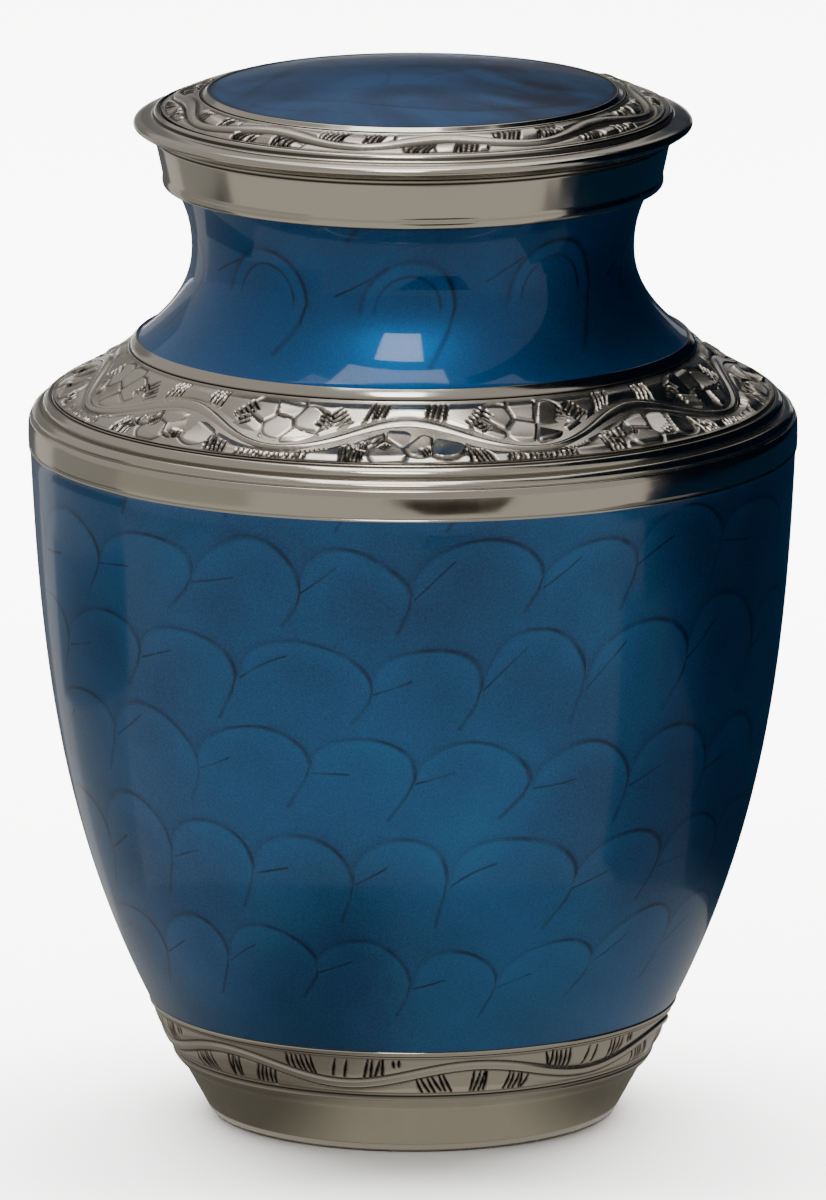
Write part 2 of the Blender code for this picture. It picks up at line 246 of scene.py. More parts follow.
@dataclass
class Shell:
    """A closed surface on a grid of rings, each with the same number of points round the axis."""

    rings: Array
    along: Array
    zones: NDArray[np.int32]
    painted_shade: Array
    poles: Array | None = None

    def faces(self) -> tuple[NDArray[np.int64], NDArray[np.int64]]:
        """The grid's quads, and the triangles that close it at both poles.

        Returns:
            Two arrays of vertex numbers, of four and three columns. Without poles the rows join into a
            loop, and there are no triangles.
        """
        rows, columns = self.rings.shape[:2]
        row = np.arange(rows if self.poles is None else rows - 1)[:, None]
        column = np.arange(columns)[None, :]
        below, beside = (row + 1) % rows, (column + 1) % columns
        quads = np.stack([row * columns + column, below * columns + column,
                          below * columns + beside, row * columns + beside], axis=-1).reshape(-1, 4)
        if self.poles is None:
            return quads, np.empty((0, 3), np.int64)
        ring = np.arange(columns)
        after = (ring + 1) % columns
        base = (rows - 1) * columns
        first = np.stack([np.full(columns, rows * columns), ring, after], axis=1)
        last = np.stack([np.full(columns, rows * columns + 1), base + after, base + ring], axis=1)
        return quads, np.concatenate([first, last])

    def pattern(self) -> tuple[Array, Array]:
        """Where each face corner lies: its turn as a share of a circle, and its share of the length.

        Returns:
            Two arrays of such pairs, for the quads' corners and for the triangles'.
        """
        rows, columns = self.rings.shape[:2]
        share = self.along / self.along[-1]
        count = rows if self.poles is None else rows - 1
        offset = 0 if self.poles is None else 1
        row = np.repeat(np.arange(count), columns)
        column = np.tile(np.arange(columns), count)
        ahead = np.minimum(row + offset + 1, len(share) - 1)
        left, right = column / columns, (column + 1) / columns
        top, bottom = share[row + offset], share[ahead]
        quads = np.stack([left, top, left, bottom, right, bottom, right, top], axis=1)
        if self.poles is None:
            return quads.reshape(-1, 2), np.empty((0, 2))
        left = np.arange(columns) / columns
        right = left + 1 / columns
        middle = left + 0.5 / columns
        level = np.ones(columns)
        first = np.stack([middle, level * share[0], left, level * share[1],
                          right, level * share[1]], axis=1)
        last = np.stack([middle, level * share[-1], right, level * share[-2],
                         left, level * share[-2]], axis=1)
        return quads.reshape(-1, 2), np.concatenate([first, last]).reshape(-1, 2)

    def build(self, name: str, materials: Sequence[Material]) -> bpy.types.Object:
        """Makes the object, with its faces outwards, its pattern coordinates and its painted shade.

        Args:
            name: The piece's name.
            materials: Its materials in the order of Zone.

        Returns:
            The object, at the origin.
        """
        rows, columns = self.rings.shape[:2]
        points = self.rings.reshape(-1, 3)
        painted_shade = self.painted_shade.reshape(-1)
        if self.poles is not None:
            points = np.concatenate([points, self.poles])
            painted_shade = np.r_[painted_shade, 0.0, 0.0]
        quads, caps = self.faces()
        quad_places, cap_places = self.pattern()
        a, b, c, d = (points[quads[:, i]] for i in range(4))
        volume = np.einsum("ij,ij->", a, np.cross(b, c)) + np.einsum("ij,ij->", a, np.cross(c, d))
        if volume < 0:
            quads, caps = quads[:, ::-1], caps[:, ::-1]
            quad_places = quad_places.reshape(-1, 4, 2)[:, ::-1].reshape(-1, 2)
            cap_places = cap_places.reshape(-1, 3, 2)[:, ::-1].reshape(-1, 2)
        corners = np.concatenate([quads.ravel(), caps.ravel()])
        sizes = np.r_[np.full(len(quads), 4), np.full(len(caps), 3)]
        mesh = bpy.data.meshes.new(name)
        mesh.vertices.add(len(points))
        mesh.vertices.foreach_set("co", (points * MM).ravel())
        mesh.loops.add(len(corners))
        mesh.loops.foreach_set("vertex_index", corners)
        mesh.polygons.add(len(sizes))
        mesh.polygons.foreach_set("loop_start", np.r_[0, np.cumsum(sizes)[:-1]])
        mesh.update(calc_edges=True)
        for material in materials:
            mesh.materials.append(material)
        offset = 0 if self.poles is None else 1
        zones = np.repeat(self.zones[offset:offset + len(quads) // columns], columns)
        ends = np.repeat([self.zones[0], self.zones[-1]], len(caps) // 2)
        mesh.polygons.foreach_set("material_index", np.r_[zones, ends].astype(np.int32))
        layer = mesh.uv_layers.new(name=PATTERN)
        layer.data.foreach_set("uv", np.concatenate([quad_places, cap_places]).ravel())
        # Painted shade, stored per point for the materials to darken by.
        mark = mesh.attributes.new(PAINTED_SHADE, "FLOAT", "POINT")
        mark.data.foreach_set("value", painted_shade.astype(np.float32))
        mesh.shade_smooth()
        mesh.set_sharp_from_angle(angle=SHARP_ANGLE)
        obj = bpy.data.objects.new(name, mesh)
        bpy.context.scene.collection.objects.link(obj)
        return obj


def turned(outline: Outline, columns: int) -> Shell:
    """Turns an outline about the axis: x = r sin(turn), y = -r cos(turn), z = height.

    Args:
        outline: The outline, whose two ends lie on the axis.
        columns: Points round each ring.

    Returns:
        The closed shell.
    """
    turn = np.arange(columns) * 2 * np.pi / columns
    radius, height = outline.places[1:-1].T
    rings = np.stack([radius[:, None] * np.sin(turn), -radius[:, None] * np.cos(turn),
                      np.repeat(height[:, None], columns, axis=1)], axis=-1)
    poles = np.array([[0.0, 0.0, outline.places[0, 1]], [0.0, 0.0, outline.places[-1, 1]]])
    # Painted shade of each outline point, the same all round.
    painted_shade = np.repeat(outline.groove_shade[1:-1, None], columns, axis=1)
    return Shell(rings, outline.along(), outline.zones, painted_shade, poles)


@dataclass(frozen=True)
class Hatch:
    """A group of straight cuts across a strip, between the band's border and its stem.

    Places are in mm along the band from the stem's crest, and span is the share of the strip's width
    that the cuts cross, counted from the upper edge.
    """

    side: Side
    place: float
    count: int
    pitch: float = 1.35
    slant: float = 0.2
    span: Pair = (0.08, 0.92)
    width: float = 0.42


@dataclass(frozen=True)
class Comb:
    """A group of short parallel cuts stacked along a slanting line, as a leaf's comb."""

    place: float
    depth: float
    count: int
    lean: float
    length: float = 3.6
    pitch: float = 1.25
    width: float = 0.42


@dataclass
class EngravedBand:
    """A band cut by hand: a ribbon stem waves round it, with pebbles, combs and hatching between.

    Lengths are in mm. The edge is the groove on both sides of the stem, the rim is the fine line along
    the band's two borders, and a groove rings each pebble. A name in _dark says how black it is, from 0
    to 1, as painted shade in that groove.
    """

    name: str
    upper: Pair
    lower: Pair
    waves: int
    lead: float
    middle: float
    swing: float
    seed: int
    hollow: float = 0.0
    columns: int = 1440
    rows: int = 60
    stem_width: float = 1.8
    stem_side: float = 0.4
    stem_relief: float = 0.55
    stem_swell: float = 0.0
    stem_bevel: float = 0.35
    stem_camber: float = 0.35
    edge_cut: float = 0.22
    edge_width: float = 0.30
    edge_off: float = 0.05
    edge_dark: float = 0.9
    rim_cut: float = 0.12
    rim_width: float = 0.22
    rim_off: float = 0.55
    rim_dark: float = 0.6
    mound: float = 0.45
    mound_reach: float = 2.2
    margin: float = 0.7
    thickness: float = 0.9
    cut_depth: float = 0.28
    tilt: float = 0.08
    hatches: tuple[Hatch, ...] = ()
    combs: tuple[Comb, ...] = ()
    upper_pebbles: tuple[Pair, ...] = ()
    lower_pebbles: tuple[Pair, ...] = ()
    pebble_reach: float = 3.3
    pebble_rise: float = 0.10
    pebble_slope: float = 0.55
    pebble_stray: float = 0.45
    pebble_gap: float = 0.15
    groove_width: float = 0.30
    groove_share: float = 0.8
    groove_dark: float = 0.95
    length: float = field(init=False)
    radius: float = field(init=False)
    pitch: float = field(init=False)

    def __post_init__(self) -> None:
        """Works out the band's width, its middle radius and the length of a wave there."""
        self.length = math.dist(self.upper, self.lower)
        self.radius = (self.upper[0] + self.lower[0]) / 2
        self.pitch = 2 * math.pi * self.radius / self.waves

    def stem_depth(self, place: float | Array) -> float | Array:
        """How far down the band the stem's middle lies, in mm, at a place along it from a crest."""
        return self.length * (self.middle - self.swing * np.cos(2 * np.pi * place / self.pitch))

    def surface(self, depth: Array, lift: Array) -> tuple[Array, Array]:
        """Finds places on the band's face, raised along its outward direction.

        Args:
            depth: Depth down the band, in mm.
            lift: How far each place is raised, in mm.

        Returns:
            Radius and height of each place.
        """
        lower, upper = np.array(self.lower), np.array(self.upper)
        along = (lower - upper) / self.length
        share = depth / self.length
        out = lift - 4 * self.hollow * share * (1 - share)
        return (upper[0] + along[0] * depth - along[1] * out,
                upper[1] + along[1] * depth + along[0] * out)

    def grid(self) -> tuple[Array, Array]:
        """The turn of each column and the depth of each row, finest away from the edges."""
        turn = np.arange(self.columns) * 2 * np.pi / self.columns
        return turn, np.linspace(0.0, self.length, self.rows)

    def wrapped(self, place: Array) -> Array:
        """Brings a distance along the band to the nearest way round."""
        girth = 2 * np.pi * self.radius
        return (place + girth / 2) % girth - girth / 2

    def cut(self, cuts: Array, run: Array, depth: Array, start: Pair, end: Pair, width: float) -> None:
        """Deepens the field by one straight cut with round ends: 1 on its line, 0 a width away.

        As a graver leaves it, the cut is narrow at its ends and a little wider at its end than its start.

        Args:
            cuts: The field of cuts, rows by columns, changed in place.
            run: Distance along the band of each column, in mm.
            depth: Depth of each row, in mm.
            start: Where the cut starts, as distance and depth.
            end: Where it ends.
            width: Half the cut's width at the surface.
        """
        middle = (start[0] + end[0]) / 2
        reach = abs(end[0] - start[0]) / 2 + 2 * width
        columns = np.flatnonzero(np.abs(self.wrapped(run - middle)) < reach)
        across = self.wrapped(run[columns] - start[0])[None, :]
        down = (depth - start[1])[:, None]
        line = (end[0] - start[0], end[1] - start[1])
        share = np.clip((across * line[0] + down * line[1]) / (line[0] ** 2 + line[1] ** 2), 0.0, 1.0)
        apart = np.hypot(across - share * line[0], down - share * line[1])
        thick = width * (0.55 + 0.9 * np.minimum(share, 1 - share) + 0.25 * share)
        cuts[:, columns] = np.maximum(cuts[:, columns], 1 - smooth(0.35, 1.0, apart / (1.35 * thick)))

    def cuts(self, run: Array, depth: Array, rng: np.random.Generator) -> Array:
        """All the hatching and combs, wave by wave, each cut a little off its neighbours.

        Args:
            run: Distance along the band of each column, in mm.
            depth: Depth of each row, in mm.
            rng: Source of the hand's unevenness.

        Returns:
            The depth of the cuts as a share, rows by columns.
        """
        field_of_cuts = np.zeros((len(depth), len(run)))
        stem_edge = self.stem_width / 2 + self.stem_side
        for wave in range(self.waves):
            crest = wave * self.pitch
            for hatch in self.hatches:
                for i in range(hatch.count):
                    off = rng.normal(0.0, 0.10, 4)
                    place = hatch.place + (i - (hatch.count - 1) / 2) * hatch.pitch + off[0]
                    stem = float(self.stem_depth(place))
                    low, high = (0.5, stem - stem_edge)
                    if hatch.side is Side.LOWER:
                        low, high = (stem + stem_edge, self.length - 0.5)
                    top = low + (high - low) * hatch.span[0] + off[1]
                    foot = low + (high - low) * hatch.span[1] + off[2]
                    lean = (hatch.slant + off[3]) * (foot - top) / 2
                    self.cut(field_of_cuts, run, depth, (crest + place + lean, top),
                             (crest + place - lean, foot), hatch.width)
            for comb in self.combs:
                lean = math.radians(comb.lean)
                stack = np.array([math.cos(lean), math.sin(lean)])
                tooth = np.array([-stack[1], stack[0]]) * comb.length / 2
                for i in range(comb.count):
                    middle = np.array([crest + comb.place, comb.depth])
                    middle += stack * (i - (comb.count - 1) / 2) * comb.pitch
                    middle = middle + rng.normal(0.0, 0.08, 2)
                    self.cut(field_of_cuts, run, depth, tuple(middle - tooth), tuple(middle + tooth),
                             comb.width)
        return field_of_cuts

    def pebbles(self, run: Array, depth: Array, seeds: Sequence[Pair],
                rng: np.random.Generator) -> tuple[Array, Array]:
        """Rounded cells about seeds: each point takes its nearest seed, and cells end half way.

        Args:
            run: Distance along the band of each column, in mm.
            depth: Depth of each row, in mm.
            seeds: The cells' middles in one wave, as distance from the crest and depth.
            rng: Source of the hand's unevenness.

        Returns:
            How far inside its cell each point lies, in mm, and each cell's tilted face.
        """
        places = np.array([(wave * self.pitch + a, b) for wave in range(self.waves) for a, b in seeds])
        places = places + rng.normal(0.0, self.pebble_stray, places.shape)
        tilts = rng.normal(0.0, self.tilt, places.shape)
        across = self.wrapped(run[None, :] - places[:, :1]).astype(np.float32)
        apart = np.hypot(across[:, None, :], (depth[None, :] - places[:, 1:])[:, :, None])
        nearest = np.argmin(apart, axis=0)
        first, second = np.partition(apart, 1, axis=0)[:2]
        inside = np.minimum((second - first) / 2, self.pebble_reach - first)
        columns = np.arange(len(run))[None, :]
        rows = np.arange(len(depth))[:, None]
        face = tilts[nearest, 0] * across[nearest, columns] + tilts[nearest, 1] * (
            depth[rows] - places[nearest, 1])
        return inside, face

    def relief(self) -> tuple[Array, Array]:
        """The engraving: how far each point is raised, and how dark its grooves are painted as shade.

        Returns:
            Lift in mm and darkness from 0 to 1, rows by columns.
        """
        rng = np.random.default_rng(self.seed)
        turn, depth = self.grid()
        run = (turn - math.radians(self.lead)) * self.radius
        across, down = run[None, :], depth[:, None]
        stem = self.stem_depth(across)
        slope = 2 * np.pi * self.swing * self.length / self.pitch * np.sin(2 * np.pi * across / self.pitch)
        apart = (down - stem) / np.hypot(1.0, slope)
        half = self.stem_width / 2 * (1 + self.stem_swell * np.cos(2 * np.pi * across / self.pitch))
        crown = 1 - smooth(half - self.stem_bevel, half + self.stem_side, np.abs(apart))
        camber = self.stem_camber * np.clip(np.abs(apart) / half, 0, 1) ** 2
        lift = self.stem_relief * crown * (1 - camber)
        border = np.minimum(down, self.length - down)
        room = np.abs(apart) - half - self.stem_side
        clear = np.minimum(room, border - self.margin)
        lift = lift + self.mound * smooth(0.0, self.mound_reach, clear)
        edge = np.exp(-((room - self.edge_off) / self.edge_width) ** 2)
        rim = np.exp(-((border - self.rim_off) / self.rim_width) ** 2)
        # Painted shade in the grooves beside the stem and along the border lines.
        dark = np.maximum(self.edge_dark * edge, self.rim_dark * rim)
        lift = lift - self.edge_cut * edge - self.rim_cut * rim
        for seeds, side in ((self.upper_pebbles, Side.UPPER), (self.lower_pebbles, Side.LOWER)):
            if not seeds:
                continue
            inside, face = self.pebbles(run, depth, seeds, rng)
            here = np.sign(apart) == side.value
            inside = np.minimum(inside, clear - self.pebble_gap)
            share = smooth(0.0, self.pebble_slope, inside)
            groove = np.exp(-(inside / self.groove_width) ** 2)
            sunk = self.cut_depth * self.groove_share * groove
            lift = lift + here * (share * (self.pebble_rise + face) - sunk)
            # Painted shade in the groove round each pebble.
            dark = np.maximum(dark, here * self.groove_dark * groove)
        cuts = self.cuts(run, depth, rng) * smooth(-0.1, 0.3, room)
        lift = lift - self.cut_depth * cuts
        # The cuts are painted as dark as they are deep: painted shade.
        return lift, np.clip(np.maximum(dark, cuts), 0.0, 1.0)

    def build(self, material: Material) -> bpy.types.Object:
        """Makes the band as a closed ring: its cut face, its two edges and a plain back.

        Args:
            material: The engraved plate.

        Returns:
            The band's object.
        """
        turn, depth = self.grid()
        lift, dark = self.relief()
        back = np.full((2, self.columns), -self.thickness)
        depths = np.r_[depth, depth[-1], depth[0]][:, None]
        radius, height = self.surface(depths, np.concatenate([lift, back]))
        rings = np.stack([radius * np.sin(turn), -radius * np.cos(turn), height], axis=-1)
        along = np.r_[depth, depth[-1] + self.thickness, 2 * depth[-1] + self.thickness]
        # Painted shade of the grooves and cuts on the face, none on the back.
        painted_shade = np.concatenate([dark, np.zeros_like(back)])
        shell = Shell(rings, along, np.zeros(len(along), np.int32), painted_shade)
        return shell.build(self.name, [material])


@dataclass(frozen=True)
class NickelPlate:
    """Nickel plated brass, buffed on the lathe: a warm grey mirror with faint turning lines.

    Lengths are in mm. Haze says between which shares of the roughness its clouds change it.
    """

    bright: str = "b9b3a6"
    shade_colour: str = "16130f"
    roughness: float = 0.13
    shade_roughness: float = 0.55
    line_pitch: float = 0.35
    line_height: float = 0.0012
    line_stretch: float = 0.02
    cloud: float = 6.0
    haze: Pair = (0.85, 1.25)

    def make(self, name: str) -> Material:
        """Makes the material, darker and rougher where the piece's painted shade says.

        Args:
            name: The material's name.

        Returns:
            The material.
        """
        material, add, shader = new_material(name)
        place = add("TexCoord").outputs["Object"]
        groove_shade = add("Attribute", attribute_name=PAINTED_SHADE).outputs["Fac"]
        cloud = add("TexNoise", {"Vector": place, "Scale": 1 / (self.cloud * MM), "Detail": 4.0})
        haze = add("MapRange", (cloud, 0.35, 0.7, *(self.roughness * share for share in self.haze)))
        squeeze = add("Mapping", {"Vector": place, "Scale": (self.line_stretch, self.line_stretch, 1.0)})
        lines = add("TexNoise", {"Vector": squeeze, "Scale": 1 / (self.line_pitch * MM), "Detail": 3.0})
        # Painted shade: darker, towards the shade colour, and rougher where the attribute says, in grooves
        # and cuts.
        feed(shader, {
            "Metallic": 1.0,
            "Base Color": add("Mix", {"Factor": groove_shade, "A": linear(self.bright), "B": linear(self.shade_colour)},
                              data_type="RGBA"),
            "Roughness": add("Mix", {"Factor": groove_shade, "A": haze, "B": self.shade_roughness},
                             data_type="FLOAT"),
            "Normal": add("Bump", {"Strength": 0.25, "Distance": self.line_height * MM, "Height": lines}),
        })
        return material


@dataclass(frozen=True)
class Stroke:
    """A straight line in a scale's cell: as dark as depth within inner of it, and gone at outer."""

    start: Pair
    end: Pair
    inner: float
    outer: float
    depth: float


@dataclass(frozen=True)
class PearlEnamel:
    """Clear enamel over a blue pearl ground: mica gives a soft metal glow under a hard gloss.

    The ground is brushed in overlapping scales, so many around and each row so many mm high, down the
    outline from start. Each is a thin darker arch over its top and right side, a tail that sweeps back
    under it, and a short dark flick at its left. Places and widths inside a scale are shares of its cell.

    The arch is an oval about middle, as wide as spread and as high as height. A pair ending in _ramp
    says where a soft change starts and where it is full: of the cell's height measured from the oval's
    middle in its own units (crown, lit), of the width in the same way (left), of the distance outside
    the oval (glow, edge) or of the distance from its line (shade). Glow is a painted highlight inside
    each arch and shade a painted shadow above it, both kept to the scale's upper part (lit).
    """

    around: int
    row: float
    length: float
    start: float
    ground: str = "133c66"
    pale: str = "2a699d"
    # Colour of the drawn lines; the painted shade from the piece's attribute darkens to it too.
    line: str = "010818"
    turn: float = 0.0
    strength: float = 0.75
    gloss: float = 0.55
    spread: float = 0.49
    height: float = 0.42
    middle: Pair = (0.50, 0.46)
    jitter: Pair = (0.05, 0.09)
    jitter_from: Pair = (-0.025, -0.03)
    line_width: float = 0.080
    inner_line: float = 0.0
    inner_width: float = 0.055
    inner_depth: float = 0.30
    left_line: float = 0.15
    right_line: float = 0.95
    crown_ramp: Pair = (0.10, -0.12)
    left_ramp: Pair = (-0.95, 0.30)
    glow_ramp: Pair = (-0.75, -0.03)
    edge_ramp: Pair = (0.03, 0.0)
    shade_ramp: Pair = (0.28, 0.0)
    lit_ramp: Pair = (0.55, -0.5)
    stray: float = 0.17
    haze: float = 0.09
    flake: float = 0.37
    flick: tuple[Pair, Pair] = ((-0.01, 0.50), (0.34, 0.52))
    swirl: float = 0.0
    mottle: float = 1.6
    cloud: float = 52.0
    mica: float = 0.45
    wear: float = 7.0
    rows: float = 5.0

    def strokes(self) -> tuple[Stroke, Stroke, Stroke]:
        """The arch's foot at its right, the tail that sweeps back under it, and the flick.

        Returns:
            The three strokes.
        """
        right, left = 0.5 + self.spread, 0.5 - self.spread
        hip = (right - 0.04, 0.60)
        flick = [(left + x, y) for x, y in self.flick]
        return (Stroke((right, 0.44), hip, 0.002, 0.020, 0.85),
                Stroke(hip, (right - 0.17, 0.86), 0.0, 0.032, 0.60),
                Stroke(*flick, 0.002, 0.019, 0.95))

    def distance(self, add: Adder, place: Feed, stroke: Stroke) -> Node:
        """Measures how far a place in the cell lies from a stroke.

        Args:
            add: Adds a node to the material.
            place: The place.
            stroke: The stroke.

        Returns:
            The node that gives the distance.
        """
        span = (stroke.end[0] - stroke.start[0], stroke.end[1] - stroke.start[1], 0.0)
        size = span[0] ** 2 + span[1] ** 2
        away = add("VectorMath", (place, (*stroke.start, 0.0)), "SUBTRACT")
        reach = add("VectorMath", (away, tuple(s / size for s in span)), "DOT_PRODUCT")
        foot = add("VectorMath", {0: span, "Scale": add("Clamp", (reach,))}, "SCALE")
        return add("VectorMath", (away, foot), "DISTANCE")

    def line_at(self, add: Adder, gap: Feed, inner: float, outer: float, depth: float | Feed) -> Node:
        """Draws a line with soft sides.

        Args:
            add: Adds a node to the material.
            gap: The distance from the line's middle.
            inner: How far from there it is still full.
            outer: How far from there it is gone.
            depth: Its darkness where it is full.

        Returns:
            The node that gives the darkness.
        """
        ramp = add("MapRange", (gap, inner, outer, 1.0, 0.0), **SOFT)
        return add("Math", (ramp, depth), "MULTIPLY")

    def cell(self, add: Adder) -> tuple[Node, Feed, Node]:
        """Finds the scale that a place lies in. Each row is set half a scale off the one above.

        Args:
            add: Adds a node to the material.

        Returns:
            The place inside the scale's cell, a random colour for that scale, and 1 on the drawn rows.
        """
        place = add("TexCoord").outputs["Object"]
        wander = add("TexNoise", {"Vector": place, "Scale": 1 / (1.9 * self.row * MM), "Detail": 0.6})
        reach = 2 * self.stray
        stray = add("VectorMath", (wander.outputs["Color"], (2 * reach, 2 * reach, 0.0),
                                   (-reach, -reach, 0.0)), "MULTIPLY_ADD")
        scaled = add("Mapping", {"Vector": add("UVMap", uv_map=PATTERN),
                                 "Location": (self.turn, -self.start / self.row, 0.0),
                                 "Scale": (self.around, self.length / self.row, 1.0)})
        across, down, _ = add("SeparateXYZ", (add("VectorMath", (scaled, stray), "ADD"),)).outputs
        line = add("Math", (down,), "FLOOR")
        half = add("Math", (line, 0.5, across), "MULTIPLY_ADD")
        column = add("Math", (half,), "FLOOR")
        number = add("Math", (column, float(self.around)), "FLOORED_MODULO")
        x = add("Math", (half, column), "SUBTRACT")
        y = add("Math", (down, line), "SUBTRACT")
        chance = add("TexWhiteNoise", {"Vector": add("CombineXYZ", (number, line))})
        shown = add("Math", (line, self.rows - 0.5), "LESS_THAN")
        return add("CombineXYZ", (x, y)), chance.outputs["Color"], shown

    def scales(self, add: Adder) -> tuple[Node, Node]:
        """Draws the scales.

        Args:
            add: Adds a node to the material.

        Returns:
            The lines' darkness, and the painted highlight inside each arch less the painted shadow that it
            casts above.
        """
        cell, chance, shown = self.cell(add)
        shift = add("VectorMath", (chance, (*self.jitter, 0.0), (*self.jitter_from, 0.0)), "MULTIPLY_ADD")
        here = add("VectorMath", (cell, shift), "SUBTRACT")
        oval = add("VectorMath", (here, (*self.middle, 0.0)), "SUBTRACT")
        unit = add("VectorMath", (oval, (1 / self.spread, 1 / self.height, 0.0)), "MULTIPLY")
        off = add("Math", (add("VectorMath", (unit,), "LENGTH"), 1.0), "SUBTRACT")
        gap = add("Math", (off,), "ABSOLUTE")
        second = add("Math", (off, self.inner_depth), "ADD")
        across, down, _ = add("SeparateXYZ", (unit,)).outputs
        crown = add("MapRange", (down, *self.crown_ramp), **SOFT)
        fade = add("MapRange", (across, *self.left_ramp, self.left_line, self.right_line), **SOFT)
        arch = add("Math", (crown, fade), "MULTIPLY")
        inner_arch = add("Math", (arch, self.inner_line), "MULTIPLY")
        rise = add("Math", (add("SeparateXYZ", (here,)).outputs["X"],
                            add("SeparateXYZ", (chance,)).outputs["Z"]), "MULTIPLY")
        slanted = add("VectorMath", (here, add("CombineXYZ", {"Y": rise})), "ADD")
        dark = self.line_at(add, gap, 0.0, self.line_width, arch)
        marks = [self.line_at(add, add("Math", (second,), "ABSOLUTE"), 0.0, self.inner_width,
                              inner_arch)]
        for place, stroke in zip((here, here, slanted), self.strokes()):
            apart = self.distance(add, place, stroke)
            marks.append(self.line_at(add, apart, stroke.inner, stroke.outer, stroke.depth))
        for mark in marks:
            dark = add("Math", (dark, mark), "MAXIMUM")
        worn = add("TexNoise", {
            "Vector": add("TexCoord").outputs["Object"], "Scale": 1 / (self.wear * MM), "Detail": 3.0})
        kept = add("Math", (dark, shown), "MULTIPLY")
        drawn = add("Math", (kept, add("MapRange", (worn, 0.35, 0.58, 0.4, 1.0))), "MULTIPLY")
        # Painted light: a highlight inside each arch and the shadow each scale casts on the one above, on
        # its upper part only.
        glow = add("MapRange", (off, *self.glow_ramp), **SOFT)
        edge = add("MapRange", (off, *self.edge_ramp), **SOFT)
        inner = add("Math", (glow, edge), "MULTIPLY")
        above = add("MapRange", (gap, *self.shade_ramp), **SOFT)
        outside = add("Math", (1.0, edge), "SUBTRACT")
        shade = add("Math", (above, outside), "MULTIPLY")
        painted_light = add("Math", (inner, shade), "SUBTRACT")
        lit = add("MapRange", (down, *self.lit_ramp, 0.0, shown), **SOFT)
        return drawn, add("Math", (painted_light, lit), "MULTIPLY")

    def make(self, name: str) -> Material:
        """Makes the enamel, with painted shade where the piece's attribute says, such as the dark line
        round the lid's dome.

        Args:
            name: The material's name.

        Returns:
            The material.
        """
        material, add, shader = new_material(name)
        dark, glow = self.scales(add)
        place = add("TexCoord").outputs["Object"]
        cloud = add("TexNoise", {"Vector": place, "Scale": 1 / (self.cloud * MM), "Detail": 4.0,
                                 "Roughness": 0.5, "Distortion": self.swirl})
        mica = add("TexNoise", {"Vector": place, "Scale": 1 / (self.mica * MM), "Detail": 2.0})
        speck = add("Math", (mica, 0.9, 0.2 - self.mottle / 2), "MULTIPLY_ADD")
        mottle = add("Math", (cloud, self.mottle, speck), "MULTIPLY_ADD")
        # Paleness: random mottle plus the painted highlight and shadow of the scales.
        lifted = add("Math", (glow, 0.13, mottle), "MULTIPLY_ADD")
        paleness = add("MapRange", (lifted, 0.20, 1.15))
        depth = add("Math", (dark, self.strength), "MULTIPLY")
        # Painted shade from the piece's attribute, such as the dark line round the lid's dome.
        shade_mark = add("Attribute", attribute_name=PAINTED_SHADE).outputs["Fac"]
        colour = linear(self.ground)
        for factor, other in ((paleness, self.pale), (depth, self.line), (shade_mark, self.line)):
            colour = add("Mix", {"Factor": factor, "A": colour, "B": linear(other)}, data_type="RGBA")
        feed(shader, {"Base Color": colour, "Metallic": 0.98, "Roughness": self.flake,
                      "Coat Weight": self.gloss, "Coat Roughness": self.haze, "Coat IOR": 1.5})
        return material


@dataclass(frozen=True)
class BareBrass:
    """Spun brass left bare inside: dull yellow metal with a brown bloom, never polished."""

    clean: str = "8d7443"
    bloom: str = "4c3c22"
    roughness: float = 0.5
    cloud: float = 12.0

    def make(self, name: str) -> Material:
        """Makes the material, with bloom in clouds so many mm across.

        Args:
            name: The material's name.

        Returns:
            The material.
        """
        material, add, shader = new_material(name)
        cloud = add("TexNoise", {"Vector": add("TexCoord").outputs["Object"],
                                 "Scale": 1 / (self.cloud * MM), "Detail": 5.0})
        colour = add("Mix", {"Factor": cloud, "A": linear(self.clean), "B": linear(self.bloom)},
                     data_type="RGBA")
        feed(shader, {"Base Color": colour, "Metallic": 1.0, "Roughness": self.roughness})
        return material


